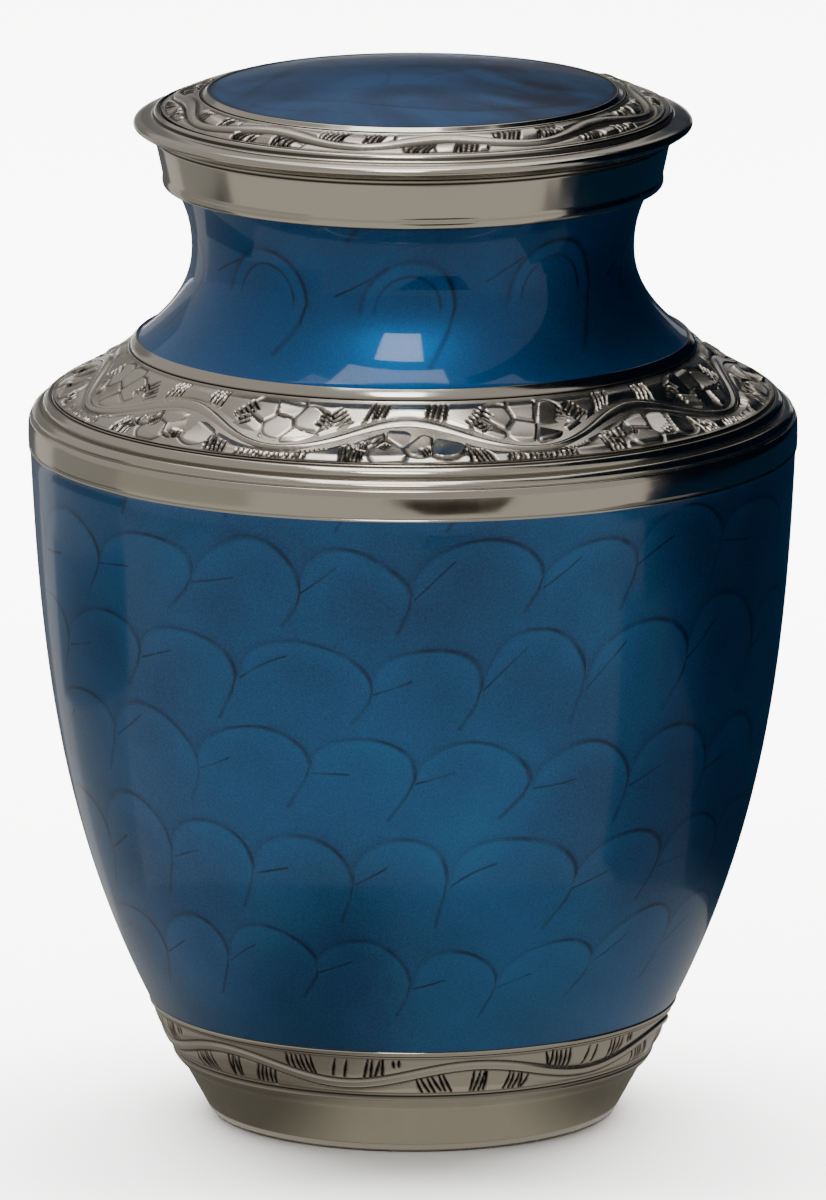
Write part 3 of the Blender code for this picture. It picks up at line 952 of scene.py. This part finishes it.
@dataclass
class Vessel:
    """The hollow vessel: foot, enamelled body, shoulder, waisted neck and collar."""

    columns: int = 188
    wall: float = 2.0
    rim_radius: float = 59.1
    shoulder_radius: float = 88.3
    body_base_radius: float = 61.0
    foot_height: float = 11.6
    foot_radius: float = 46.8
    foot_top_radius: float = 53.2
    foot_step_z: float = 14.0
    foot_band_z: float = 15.4
    foot_ring_z: float = 25.3
    body_base_z: float = 26.8
    body_height: float = 128.0
    base_slope: float = 0.50
    top_slope: float = 0.045
    enamel_step: float = 0.5
    polished_height: float = 7.8
    ridges_height: float = 5.4
    ridges_width: float = 5.7
    shoulder_band_height: float = 10.7
    neck_ring_height: float = 2.3
    neck_height: float = 35.0
    waist_rise: float = 21.0
    neck_flare: float = 12.2
    neck_hollow: float = 3.7
    neck_curve: float = 2.15
    neck_ring_width: float = 2.2
    collar_height: float = 12.3
    collar_taper: float = 2.0
    collar_lip: float = 2.7
    mouth_radius: float = 54.8
    mouth_depth: float = 9.5
    rebate: float = 1.0
    shoulder_hollow: float = 1.1
    foot_band_insets: Pair = (0.6, 5.1)
    floor_z: float = 3.8
    recess_z: float = 1.2
    body_rows: int = 56
    neck_rows: int = 44

    @property
    def body_top_z(self) -> float:
        """Height where the enamel of the body ends."""
        return self.body_base_z + self.body_height

    @property
    def ridges_z(self) -> float:
        """Height where the polished band ends and the ridges start."""
        return self.body_top_z + self.polished_height

    @property
    def band_z(self) -> float:
        """Height of the shoulder band's outer edge."""
        return self.ridges_z + self.ridges_height

    @property
    def neck_ring_z(self) -> float:
        """Height of the shoulder band's inner edge."""
        return self.band_z + self.shoulder_band_height

    @property
    def neck_base_z(self) -> float:
        """Height where the neck's enamel starts."""
        return self.neck_ring_z + self.neck_ring_height

    @property
    def neck_top_z(self) -> float:
        """Height where the neck's enamel meets the collar."""
        return self.neck_base_z + self.neck_height

    @property
    def rim_z(self) -> float:
        """Height of the rim that the lid rests on."""
        return self.neck_top_z + self.collar_height

    @property
    def neck_top_radius(self) -> float:
        """Radius of the neck under the collar."""
        return self.rim_radius - self.collar_taper - self.collar_lip

    @property
    def neck_base_radius(self) -> float:
        """Radius of the neck where it meets its ring."""
        return self.neck_top_radius - self.neck_hollow + self.neck_flare

    @property
    def shoulder_edges(self) -> tuple[Pair, Pair]:
        """The inner and the outer edge of the shoulder band."""
        return ((self.neck_base_radius + self.neck_ring_width, self.neck_ring_z),
                (self.shoulder_radius - self.ridges_width, self.band_z))

    @property
    def foot_edges(self) -> tuple[Pair, Pair]:
        """The upper and the lower edge of the foot band."""
        upper, lower = self.foot_band_insets
        return ((self.body_base_radius - upper, self.foot_ring_z),
                (self.body_base_radius - lower, self.foot_band_z))

    def neck_radius(self, height: Array) -> Array:
        """Radius of the neck: a power curve from the waist to each of its ends.

        Args:
            height: The heights, in mm.

        Returns:
            The radius at each.
        """
        waist_z = self.neck_base_z + self.waist_rise
        above = height > waist_z
        span = np.where(above, self.neck_height - self.waist_rise, self.waist_rise)
        widening = np.where(above, self.neck_hollow, self.neck_flare)
        waist = self.neck_top_radius - self.neck_hollow
        return waist + widening * (np.abs(height - waist_z) / span) ** self.neck_curve

    def body_radius(self, height: Array) -> Array:
        """Radius of the enamelled body: a Hermite curve between its two ends and their slopes.

        Args:
            height: The heights, in mm.

        Returns:
            The radius at each.
        """
        t = (height - self.body_base_z) / self.body_height
        start = self.body_base_radius * (2 * t**3 - 3 * t**2 + 1)
        start_slope = self.body_height * self.base_slope * (t**3 - 2 * t**2 + t)
        end = (self.shoulder_radius - self.enamel_step) * (3 * t**2 - 2 * t**3)
        end_slope = self.body_height * self.top_slope * (t**3 - t**2)
        return start + start_slope + end + end_slope

    def curve(self, radius_at: Callable[[Array], Array], top: float, bottom: float, count: int,
              zone: Zone) -> list[Corner]:
        """Places plain corners down a curve.

        Args:
            radius_at: Gives the radius at each height.
            top: The first height.
            bottom: The last height.
            count: How many corners, both ends included.
            zone: Their finish.

        Returns:
            The corners from the top down.
        """
        heights = np.linspace(top, bottom, count)
        return [Corner(float(r), float(z), zone=zone) for r, z in zip(radius_at(heights), heights)]

    def collar(self) -> list[Corner]:
        """The rim, the fine line under it, the flat collar and its rounded lip.

        Returns:
            The collar's corners from the top down.
        """
        # A step's fourth number is the painted shade in the groove that follows it.
        return [
            *moulding(self.rim_radius, self.rim_z, (-0.3, 0.0, 0.25), (0.0, -0.25, 0.2),
                      (0.0, -0.85, 0.1, 0.9), (-0.35, -1.0, 0.1, 0.9), (-0.15, -1.35, 0.15)),
            *moulding(self.rim_radius - self.collar_taper, self.neck_top_z, (0.15, 3.0, 0.8),
                      (0.35, 1.9, 0.6), (0.1, 0.6, 0.7)),
            *moulding(self.neck_top_radius, self.neck_top_z, (0.3, 0.1, 0.2, 0.7)),
        ]

    def shoulder(self) -> list[Corner]:
        """The neck's ring, the rebate under the shoulder band, two ridges and the polished band.

        Returns:
            The shoulder's corners from the top down.
        """
        inner, outer = self.shoulder_edges
        normal = outward(inner, outer)
        sink = -normal * self.rebate
        hollow = (np.array(inner) + outer) / 2 - normal * self.shoulder_hollow + sink
        # A step's fourth number is the painted shade in the groove that follows it, as in the ridges'
        # grooves.
        return [
            *moulding(self.neck_base_radius, self.neck_base_z, (0.25, -0.15, 0.15, 0.6),
                      (0.5, 0.35, 0.35)),
            *moulding(*inner, (-0.35, 1.1, 0.9), (-0.05, 0.1, 0.15, 1.0), (*sink, 0.0, 1.0)),
            Corner(*hollow, 0.0, 1.0),
            *moulding(*outer, (*sink, 0.0, 1.0), (0.1, -0.35, 0.1), (0.35, -0.8, 0.15, 1.0),
                      (1.15, -0.75, 0.5), (2.4, -1.95, 0.75), (2.1, -3.1, 0.2, 0.5), (3.6, -3.1, 0.65),
                      (4.85, -4.25, 0.7), (4.6, -5.1, 0.2, 0.3), (5.3, -5.2, 0.45)),
            *moulding(self.shoulder_radius, self.ridges_z, (-0.05, -1.0, 1.6)),
            *moulding(self.shoulder_radius, self.body_top_z, (0.0, 4.0, 1.6), (-0.08, 2.0, 0.4),
                      (-0.35, 1.5, 0.2, 0.3), (-0.05, 1.2, 0.25)),
            *moulding(self.shoulder_radius, self.body_top_z, (-0.15, 0.8, 0.15), zone=Zone.ENAMEL),
        ]

    def foot(self) -> list[Corner]:
        """The ring over the foot band, the band's rebate, the groove, the plain foot and its recess.

        Returns:
            The foot's corners, down to the axis.
        """
        upper, lower = self.foot_edges
        sink = -outward(upper, lower) * self.rebate
        # A step's fourth number is the painted shade in the groove that follows it.
        return [
            *moulding(self.body_base_radius, self.body_base_z, (-0.3, -0.1, 0.1, 0.5),
                      (0.05, -0.35, 0.3)),
            *moulding(self.body_base_radius, self.foot_ring_z, (-0.1, 0.35, 0.3)),
            *moulding(*upper, (-0.05, 0.1, 0.1, 1.0), (*sink, 0.0, 1.0)),
            *moulding(*lower, (*sink, 0.0, 1.0), (-0.45, -0.25, 0.2, 0.9)),
            *moulding(*lower, (-0.55, -0.9, 0.3, 0.3), zone=Zone.SATIN),
            *moulding(lower[0], self.foot_step_z, (-0.35, 0.05, 0.3), zone=Zone.SATIN),
            *moulding(lower[0], self.foot_height, (-1.35, 0.9, 0.8, 0.15), zone=Zone.SATIN),
            *moulding(self.foot_top_radius, self.foot_height, (-0.1, -0.2, 0.6), zone=Zone.SATIN),
            *moulding(self.foot_radius, 0.0, (0.75, 1.3, 1.2), (0.0, 0.0, 0.5), (-7.0, 0.0, 0.3, 0.2),
                      (-8.2, self.recess_z, 0.5, 0.2), zone=Zone.SATIN),
            Corner(0.0, self.recess_z, zone=Zone.SATIN),
        ]

    def inside(self) -> list[Corner]:
        """The hollow, from its floor's centre up the wall to the mouth.

        Returns:
            The hollow's corners from the bottom up.
        """
        body = self.curve(self.body_radius, self.body_base_z, self.body_top_z, 18, Zone.BARE)
        neck = self.curve(self.neck_radius, self.neck_base_z, self.neck_top_z, 14, Zone.BARE)
        outside = [Corner(self.foot_top_radius, self.foot_height), *body,
                   Corner(self.shoulder_radius - 0.4, self.ridges_z),
                   Corner(self.shoulder_radius - self.ridges_width - 0.4, self.band_z - 0.4), *neck]
        guide = np.array([(c.radius, c.height) for c in outside])
        step = np.gradient(guide, axis=0)
        step /= np.linalg.norm(step, axis=1, keepdims=True)
        inner = guide - self.wall * np.stack([step[:, 1], -step[:, 0]], axis=1)
        mouth_z = self.rim_z - self.mouth_depth
        wall = [Corner(float(r), float(z), 0.6, zone=Zone.BARE) for r, z in inner if z < mouth_z - 0.5]
        return [
            Corner(0.0, self.floor_z, zone=Zone.BARE),
            Corner(self.foot_radius - 0.5, self.floor_z, 3.0, zone=Zone.BARE),
            *wall,
            Corner(self.mouth_radius, mouth_z, 0.4, zone=Zone.BARE),
            *moulding(self.mouth_radius, self.rim_z, (0.0, -0.3, 0.25), (0.3, 0.0, 0.25)),
        ]

    def outline(self) -> Outline:
        """The whole outline: the hollow from its floor up, over the rim, and down the outside.

        Returns:
            The vessel's outline.
        """
        return Outline.rounded([
            *self.inside(),
            *self.collar(),
            *self.curve(self.neck_radius, self.neck_top_z, self.neck_base_z, self.neck_rows, Zone.NECK),
            *self.shoulder(),
            *self.curve(self.body_radius, self.body_top_z, self.body_base_z, self.body_rows, Zone.ENAMEL),
            *self.foot(),
        ])

    def shoulder_band(self) -> EngravedBand:
        """The broad band of pebbled lobes round the shoulder.

        Returns:
            The band.
        """
        inner, outer = self.shoulder_edges
        waves = 8
        trough = math.pi * (inner[0] + outer[0]) / 2 / waves
        return EngravedBand(
            "shoulder_band", inner, outer, waves=waves, lead=-1.0,
            middle=0.54, swing=0.23, seed=11, hollow=self.shoulder_hollow, rows=64, stem_width=2.0,
            stem_swell=0.32, pebble_reach=4.3, tilt=0.11, cut_depth=0.4, edge_width=0.36,
            hatches=(
                Hatch(Side.UPPER, -7.2, 4, slant=0.35), Hatch(Side.UPPER, 7.2, 4, slant=0.35),
                Hatch(Side.LOWER, -11.5, 6, 0.95, 0.1, (0.30, 0.95)),
                Hatch(Side.LOWER, 15.5, 5, 1.1, -0.2, (0.35, 0.95)),
                Hatch(Side.LOWER, trough, 14, 1.15, 0.3, (0.45, 0.95), 0.3),
                Hatch(Side.LOWER, -20.0, 6, 1.0, 0.1, (0.0, 0.35), 0.3),
            ),
            combs=(
                Comb(-16.0, 5.6, 5, 50.0), Comb(17.5, 5.6, 5, 130.0),
                Comb(trough + 9.5, 6.4, 4, 115.0, 3.0), Comb(trough - 11.0, 8.0, 3, 60.0, 2.4),
                Comb(-5.5, 13.5, 4, 35.0, 2.4, 0.9), Comb(4.2, 16.2, 3, -20.0, 2.2, 0.9),
            ),
            upper_pebbles=((trough - 7.1, 5.1), (trough - 0.7, 3.8), (trough - 9.8, 9.7),
                           (trough - 2.4, 9.9), (trough + 5.4, 6.6), (trough + 3.4, 12.4)),
            lower_pebbles=((-1.6, 11.0), (9.0, 14.6), (3.4, 13.0), (-3.2, 16.4), (-9.0, 11.8)),
        )

    def foot_band(self) -> EngravedBand:
        """The narrow band over the foot: a ribbon between two fine cuts, and groups of strokes.

        Returns:
            The band.
        """
        upper, lower = self.foot_edges
        waves = 6
        trough = math.pi * (upper[0] + lower[0]) / 2 / waves
        return EngravedBand(
            "foot_band", upper, lower, waves=waves, lead=14.0, middle=0.50, swing=0.24, seed=23,
            rows=42, columns=1320, stem_width=2.0, stem_side=0.25, stem_relief=0.45, edge_width=0.28,
            mound=0.3,
            hatches=(
                Hatch(Side.UPPER, trough - 10.0, 6, 1.25, -0.1),
                Hatch(Side.UPPER, trough - 0.5, 2, 2.4, 0.25, (0.1, 0.85)),
                Hatch(Side.UPPER, trough + 7.5, 4, 1.2, 0.1),
                Hatch(Side.UPPER, trough + 12.5, 2, 1.3, 0.0, (0.1, 0.5)),
                Hatch(Side.LOWER, -9.5, 6, 1.3, -0.45), Hatch(Side.LOWER, 1.2, 4, 1.1, 0.15),
                Hatch(Side.LOWER, 10.5, 5, 1.15, 0.2),
            ),
        )

    def build(self, finishes: dict[Zone, Material]) -> list[bpy.types.Object]:
        """Builds the vessel's shell and its two engraved bands.

        Args:
            finishes: The material of each zone.

        Returns:
            The three pieces.
        """
        shell = turned(self.outline(), self.columns).build("vessel_shell", [finishes[z] for z in Zone])
        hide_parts("vessel")
        pieces = [shell, self.shoulder_band().build(finishes[Zone.ENGRAVED]),
                  self.foot_band().build(finishes[Zone.ENGRAVED])]
        for piece in pieces:
            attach(piece, "root")
        return pieces


@dataclass
class Lid:
    """The lid that rests on the rim: an enamelled dome in an engraved and moulded edge."""

    columns: int = 240
    seat_z: float = 228.6
    radius: float = 64.0
    rim_radius: float = 59.1
    edge_rise: float = 5.5
    edge_width: float = 6.5
    edge_thickness: float = 2.3
    band_rise: float = 3.1
    band_width: float = 8.6
    ring_rise: float = 0.9
    ring_width: float = 2.3
    dome_rise: float = 4.4
    thickness: float = 2.2
    spigot_radius: float = 54.3
    spigot_depth: float = 8.0
    spigot_wall: float = 2.0
    rebate: float = 1.0
    # Painted shade inside the dome's edge, for the ring's shadow: where it starts as a share of the
    # radius, and how dark.
    rim_shade_start: float = 0.965
    rim_shade_depth: float = 0.85

    @property
    def band_outer(self) -> Pair:
        """The outer edge of the engraved band."""
        return self.radius - self.edge_width, self.seat_z + self.edge_rise

    @property
    def band_inner(self) -> Pair:
        """The inner edge of the engraved band."""
        return self.band_outer[0] - self.band_width, self.band_outer[1] + self.band_rise

    @property
    def dome_edge(self) -> Pair:
        """Where the enamelled dome starts."""
        return self.band_inner[0] - self.ring_width, self.band_inner[1] + self.ring_rise

    def dome(self) -> list[Corner]:
        """The dome from its centre out: a parabola, least steep at the top, with painted shade just inside
        its edge.

        Returns:
            The dome's corners.
        """
        radius, base = self.dome_edge
        spread = np.r_[np.linspace(0.0, 0.96, 24), 0.975, 0.99, 1.0]
        heights = base - 0.1 + (self.dome_rise + 0.1) * (1 - spread**2)
        # Painted shade: a dark line just inside the dome's edge.
        rim_shade = self.rim_shade_depth * smooth(self.rim_shade_start, 1.0, spread)
        return [Corner(float(radius * s), float(z), 0.0, float(p), Zone.ENAMEL)
                for s, z, p in zip(spread, heights, rim_shade)]

    def outline(self) -> Outline:
        """The whole outline: over the dome and edge to the seat, down the spigot and up inside.

        Returns:
            The lid's outline.
        """
        dome_radius, dome_base = self.dome_edge
        inner, outer = self.band_inner, self.band_outer
        sink = -outward(inner, outer) * self.rebate
        spigot_inner = self.spigot_radius - self.spigot_wall
        spigot_z = self.seat_z - self.spigot_depth
        nose = self.seat_z + self.edge_thickness
        under = dome_base - self.thickness
        hollow = ((spigot_inner, spigot_z, 0.4), (spigot_inner, outer[1] - self.thickness, 1.0),
                  (dome_radius, under, 3.0), (dome_radius * 0.5, under + self.dome_rise * 0.75, 6.0),
                  (0.0, under + self.dome_rise))
        # A step's fourth number is the painted shade in the groove that follows it.
        return Outline.rounded([
            *self.dome(),
            *moulding(dome_radius, dome_base, (0.1, 0.05, 0.1, 0.5), (0.5, 0.15, 0.3),
                      (1.5, -0.9, 0.5)),
            *moulding(*inner, (-0.15, 0.25, 0.2, 1.0), (*sink, 0.0, 1.0)),
            *moulding(*outer, (*sink, 0.0, 1.0), (0.15, -0.55, 0.15, 0.9), (0.55, -0.5, 0.2),
                      (0.8, 0.05, 0.35), (1.5, -0.15, 0.5), (1.9, -1.0, 0.35, 0.9), (2.3, -1.55, 0.35)),
            Corner(self.radius - 1.5, outer[1] - 2.0, 1.4),
            *moulding(self.radius, nose, (-0.45, 0.75, 0.7), (0.0, 0.1, 0.6), (-0.1, -0.6, 0.8)),
            Corner(self.radius - self.edge_thickness, self.seat_z + 0.35, 0.8, 0.3),
            Corner(self.rim_radius + 0.2, self.seat_z, 0.2),
            Corner(self.spigot_radius, self.seat_z, 0.2),
            Corner(self.spigot_radius, spigot_z, 0.4, zone=Zone.BARE),
            *moulding(0.0, 0.0, *hollow, zone=Zone.BARE),
        ])

    def band(self) -> EngravedBand:
        """The lid's engraved band: a ribbon that snakes between groups of small strokes.

        Returns:
            The band.
        """
        waves = 8
        trough = math.pi * (self.band_inner[0] + self.band_outer[0]) / 2 / waves
        return EngravedBand(
            "lid_band", self.band_inner, self.band_outer, waves=waves, lead=8.0, middle=0.50,
            swing=0.22, seed=37, rows=44, columns=1320, stem_width=2.3, stem_swell=0.25,
            stem_side=0.25, edge_width=0.38, edge_cut=0.25, mound=0.3, stem_relief=0.6, tilt=0.12,
            pebble_reach=3.6,
            hatches=(
                Hatch(Side.UPPER, trough - 5.0, 5, 1.15, 0.5, width=0.5),
                Hatch(Side.UPPER, trough + 5.0, 4, 1.15, 0.4, width=0.5),
                Hatch(Side.LOWER, -5.5, 5, 1.1, 0.45, width=0.5),
                Hatch(Side.LOWER, 4.5, 5, 1.1, 0.3, width=0.5),
            ),
            upper_pebbles=((trough - 5.6, 2.4), (trough + 0.2, 3.0), (trough + 5.8, 2.4)),
            lower_pebbles=((-5.8, 6.6), (0.3, 6.0), (6.0, 6.6)),
        )

    def build(self, finishes: dict[Zone, Material]) -> list[bpy.types.Object]:
        """Builds the lid's shell and its engraved band.

        Args:
            finishes: The material of each zone.

        Returns:
            The two pieces.
        """
        shell = turned(self.outline(), self.columns).build("lid_shell", [finishes[z] for z in Zone])
        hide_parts("lid")
        pieces = [shell, self.band().build(finishes[Zone.ENGRAVED])]
        for piece in pieces:
            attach(piece, "root")
        return pieces


@dataclass(frozen=True)
class Card:
    """A flat card that only reflections see: it shapes the light in the polished metal and enamel.

    A corner of two numbers lies at the card's level. Where the card has an edge colour, it turns to that
    as its distance from the plane x = centre goes from near to far. All are in metres.
    """

    name: str
    colour: str
    level: float
    corners: tuple[tuple[float, ...], ...]
    strength: float = 1.0
    edge: str | None = None
    centre: float = 0.0
    near: float = 0.0
    far: float = 1.0

    def build(self) -> None:
        """Makes the card, unseen by the camera and casting nothing."""
        material, add, shader = new_material(self.name)
        output = material.node_tree.nodes["Material Output"]
        material.node_tree.nodes.remove(shader)
        colour = linear(self.colour)
        if self.edge:
            across = add("SeparateXYZ", (add("TexCoord").outputs["Object"],)).outputs["X"]
            off = add("Math", (across, self.centre), "SUBTRACT")
            away = add("Math", (off,), "ABSOLUTE")
            share = add("MapRange", (away, self.near, self.far), **SOFT)
            colour = add("Mix", {"Factor": share, "A": colour, "B": linear(self.edge)},
                         data_type="RGBA")
        feed(output, {"Surface": add("Emission", {"Color": colour, "Strength": self.strength})})
        card = sheet(self.name, [(*corner, self.level)[:3] for corner in self.corners], material)
        card.visible_camera = False
        card.visible_shadow = False
        card.visible_diffuse = False


def disc(radius: float) -> tuple[Pair, ...]:
    """Corners of a flat disc about the axis: 36 points at (r sin a, r cos a)."""
    return tuple((radius * math.sin(a * math.pi / 18), radius * math.cos(a * math.pi / 18))
                 for a in range(36))


@dataclass(frozen=True)
class Softbox:
    """A rectangular soft light, given by the brightness of its face."""

    name: str
    place: tuple[float, float, float]
    aim: tuple[float, float, float]
    size: Pair
    radiance: float
    mirrored: bool = True

    def build(self) -> None:
        """Makes the light; its power is pi times its area times its brightness."""
        data = bpy.data.lights.new(self.name, "AREA")
        data.shape = "RECTANGLE"
        data.size, data.size_y = self.size
        data.energy = math.pi * self.size[0] * self.size[1] * self.radiance
        obj = bpy.data.objects.new(self.name, data)
        bpy.context.scene.collection.objects.link(obj)
        obj.location = self.place
        obj.rotation_euler = (Vector(self.aim) - Vector(self.place)).to_track_quat("-Z", "Y").to_euler()
        obj.visible_glossy = self.mirrored


def sheet(name: str, corners: Sequence[Sequence[float]], material: Material) -> bpy.types.Object:
    """Makes one flat face.

    Args:
        name: The sheet's name.
        corners: Its corners in order, in metres.
        material: Its material.

    Returns:
        The sheet.
    """
    mesh = bpy.data.meshes.new(name)
    mesh.from_pydata(corners, [], [tuple(range(len(corners)))])
    mesh.materials.append(material)
    obj = bpy.data.objects.new(name, mesh)
    bpy.context.scene.collection.objects.link(obj)
    return obj


@dataclass
class Studio:
    """A plain pale floor, soft light and the camera at the photograph's angle. Places are in metres.

    The light comes from the left and the front. Past about 65 degrees to the right of the front the
    surroundings are dark, both at floor level and above.
    """

    elevation: float = 12.2
    distance: float = 4.0
    target: float = 0.1189
    lens: float = 522.0
    floor_colour: str = "efeeec"
    floor_half: float = 30.0
    floor_level: float = -0.0002
    cards: tuple[Card, ...] = (
        Card("grey_table", "e0dcd5", 0.0005, (
            (-6.0, -6.0), (6.0, -6.0), (6.0, 0.0), (0.0, 0.0), (-3.4, 6.0), (-6.0, 6.0)), 0.88),
        Card("left_table", "bcb9b2", 0.0008, (
            (-0.45, -0.42), (-6.0, -5.4), (-6.0, 0.5), (-0.62, 0.05)), 0.95),
        Card("dim_left_table", "a3a49f", 0.0009, ((0.0, 0.0), (-6.0, 0.5), (-6.0, 5.4))),
        Card("left_gap", "5c6064", 0.0011, (
            (-0.35, 0.01), (-0.57, 0.02), (-0.42, 0.42), (-0.25, 0.27))),
        Card("dim_table", "66686c", 0.0005, ((0.0, 0.0), (2.0, 0.0), (2.0, 2.4), (-1.4, 2.4))),
        Card("dim_back_wall", "3c424c", 0.0, (
            (-1.9, 2.6, 0.42), (5.0, 2.6, 0.42), (5.0, 2.6, 1.25), (-1.9, 2.6, 1.25)),
            edge="8b8c88", centre=3.0, near=3.0, far=3.5),
        Card("shaded_table", "7c7f80", 0.0012, (
            (0.12, 0.02), (0.14, -0.09), (0.44, -0.23), (0.47, -0.10), (0.30, 0.01))),
        Card("dark_table", "08263e", 0.001, (
            (0.06, 6.0), (0.10, 0.03), (0.20, -0.01), (0.40, -0.15), (0.50, -0.19), (0.74, -0.26),
            (6.0, -0.6), (6.0, 6.0))),
        Card("dark_wall", "020d1a", 0.0, (
            (0.9, -0.3, 0.0), (1.0, 3.5, 0.0), (1.0, 3.5, 4.5), (0.9, -0.3, 4.5))),
        Card("dark_patch", "3a332c", 0.0015, (
            (-0.18, -1.3), (0.74, -1.3), (0.24, -0.56), (0.04, -0.56))),
        Card("near_shade", "85827c", 0.0018, disc(0.15), edge="b0ada7", centre=-0.048, near=0.01,
             far=0.052),
        Card("foot_shade", "cbc8bd", 0.002, disc(0.060), edge="78776e", centre=0.006, near=0.016,
             far=0.044),
    )
    softboxes: tuple[Softbox, ...] = (
        Softbox("backdrop_light", (0.0, 0.9, 1.6), (0.0, 0.9, 0.0), (2.6, 2.2), 26.0, False),
        Softbox("overhead", (0.0, 0.95, 2.0), (0.0, 0.95, 0.0), (1.6, 1.9), 1.3),
        Softbox("front_key", (-0.17, -0.05, 1.99), (-0.17, 0.0, 0.18), (0.86, 0.73), 4.6),
        Softbox("window", (-0.135, -0.93, 1.62), (-0.135, 0.0, 0.19), (0.46, 0.80), 9.5),
    )
    world_colour: str = "efedea"
    world_strength: float = 0.62

    def camera(self) -> None:
        """Aims a long lens at the urn's middle from slightly above."""
        data = bpy.data.cameras.new("camera")
        data.lens = self.lens
        data.clip_end = 100.0
        camera = bpy.data.objects.new("camera", data)
        bpy.context.scene.collection.objects.link(camera)
        tilt = math.radians(self.elevation)
        back = Vector((0.0, -math.cos(tilt), math.sin(tilt)))
        camera.location = Vector((0.0, 0.0, self.target)) + back * self.distance
        camera.rotation_euler = (math.pi / 2 - tilt, 0.0, 0.0)
        bpy.context.scene.camera = camera

    def floor(self) -> None:
        """A wide pale matt floor."""
        material, _, shader = new_material("matt white board")
        feed(shader, {"Base Color": linear(self.floor_colour), "Roughness": 0.9})
        half = self.floor_half
        sheet("floor", [(x, y, self.floor_level) for x, y in (
            (-half, -half), (half, -half), (half, half), (-half, half))], material)

    def build(self) -> None:
        """Sets up the surroundings, the floor, the lights, the cards and the camera."""
        world = bpy.data.worlds.new("studio")
        world.use_nodes = True
        feed(world.node_tree.nodes["Background"],
             {"Color": linear(self.world_colour), "Strength": self.world_strength})
        bpy.context.scene.world = world
        self.floor()
        for item in self.softboxes + self.cards:
            item.build()
        self.camera()


def main() -> None:
    """Builds the vessel, the lid and the studio, and logs each piece."""
    logging.basicConfig(level=logging.INFO, format="%(message)s")
    log = logging.getLogger("urn")
    vessel = Vessel()
    outline = vessel.outline()
    along = outline.along()
    length = float(along[-1])
    body_start, neck_start = (float(along[outline.zones == zone.value][0])
                              for zone in (Zone.ENAMEL, Zone.NECK))
    plate = NickelPlate().make("nickel plated brass")
    satin = NickelPlate("a39d91", roughness=0.30, line_height=0.004).make("satin nickel plate")
    engraved = NickelPlate(roughness=0.22, line_height=0.003).make("engraved nickel plate")
    bare = BareBrass().make("bare spun brass")
    body_enamel = PearlEnamel(20, 24.0, length, body_start + 3.5).make("blue pearl enamel")
    neck_enamel = PearlEnamel(
        9, 30.0, length, neck_start + 5.5, ground="04325e", pale="0c5c96", gloss=0.62, spread=0.31,
        inner_line=0.9, stray=0.11, turn=-0.49, rows=1, flake=0.45, strength=0.85, haze=0.055,
        left_line=0.7, flick=((-0.17, 0.34), (0.06, 0.37)))
    finishes = {Zone.PLATE: plate, Zone.SATIN: satin, Zone.ENAMEL: body_enamel, Zone.BARE: bare,
                Zone.ENGRAVED: engraved, Zone.NECK: neck_enamel.make("blue pearl enamel, neck")}
    lid = Lid()
    lid_length = float(lid.outline().along()[-1])
    lid_enamel = PearlEnamel(
        3, 27.0, lid_length, 3.0, ground="061734", pale="1d4771", spread=0.42, stray=0.22, gloss=0.13,
        haze=0.14, swirl=1.5, strength=0.5, mottle=2.9, cloud=40.0,
        flake=0.45).make("blue pearl enamel, lid")
    for piece in vessel.build(finishes) + lid.build({**finishes, Zone.ENAMEL: lid_enamel}):
        log.info("%s: %d triangles", piece.name, sum(len(p.vertices) - 2 for p in piece.data.polygons))
    Studio().build()


if __name__ == "__main__":
    main()
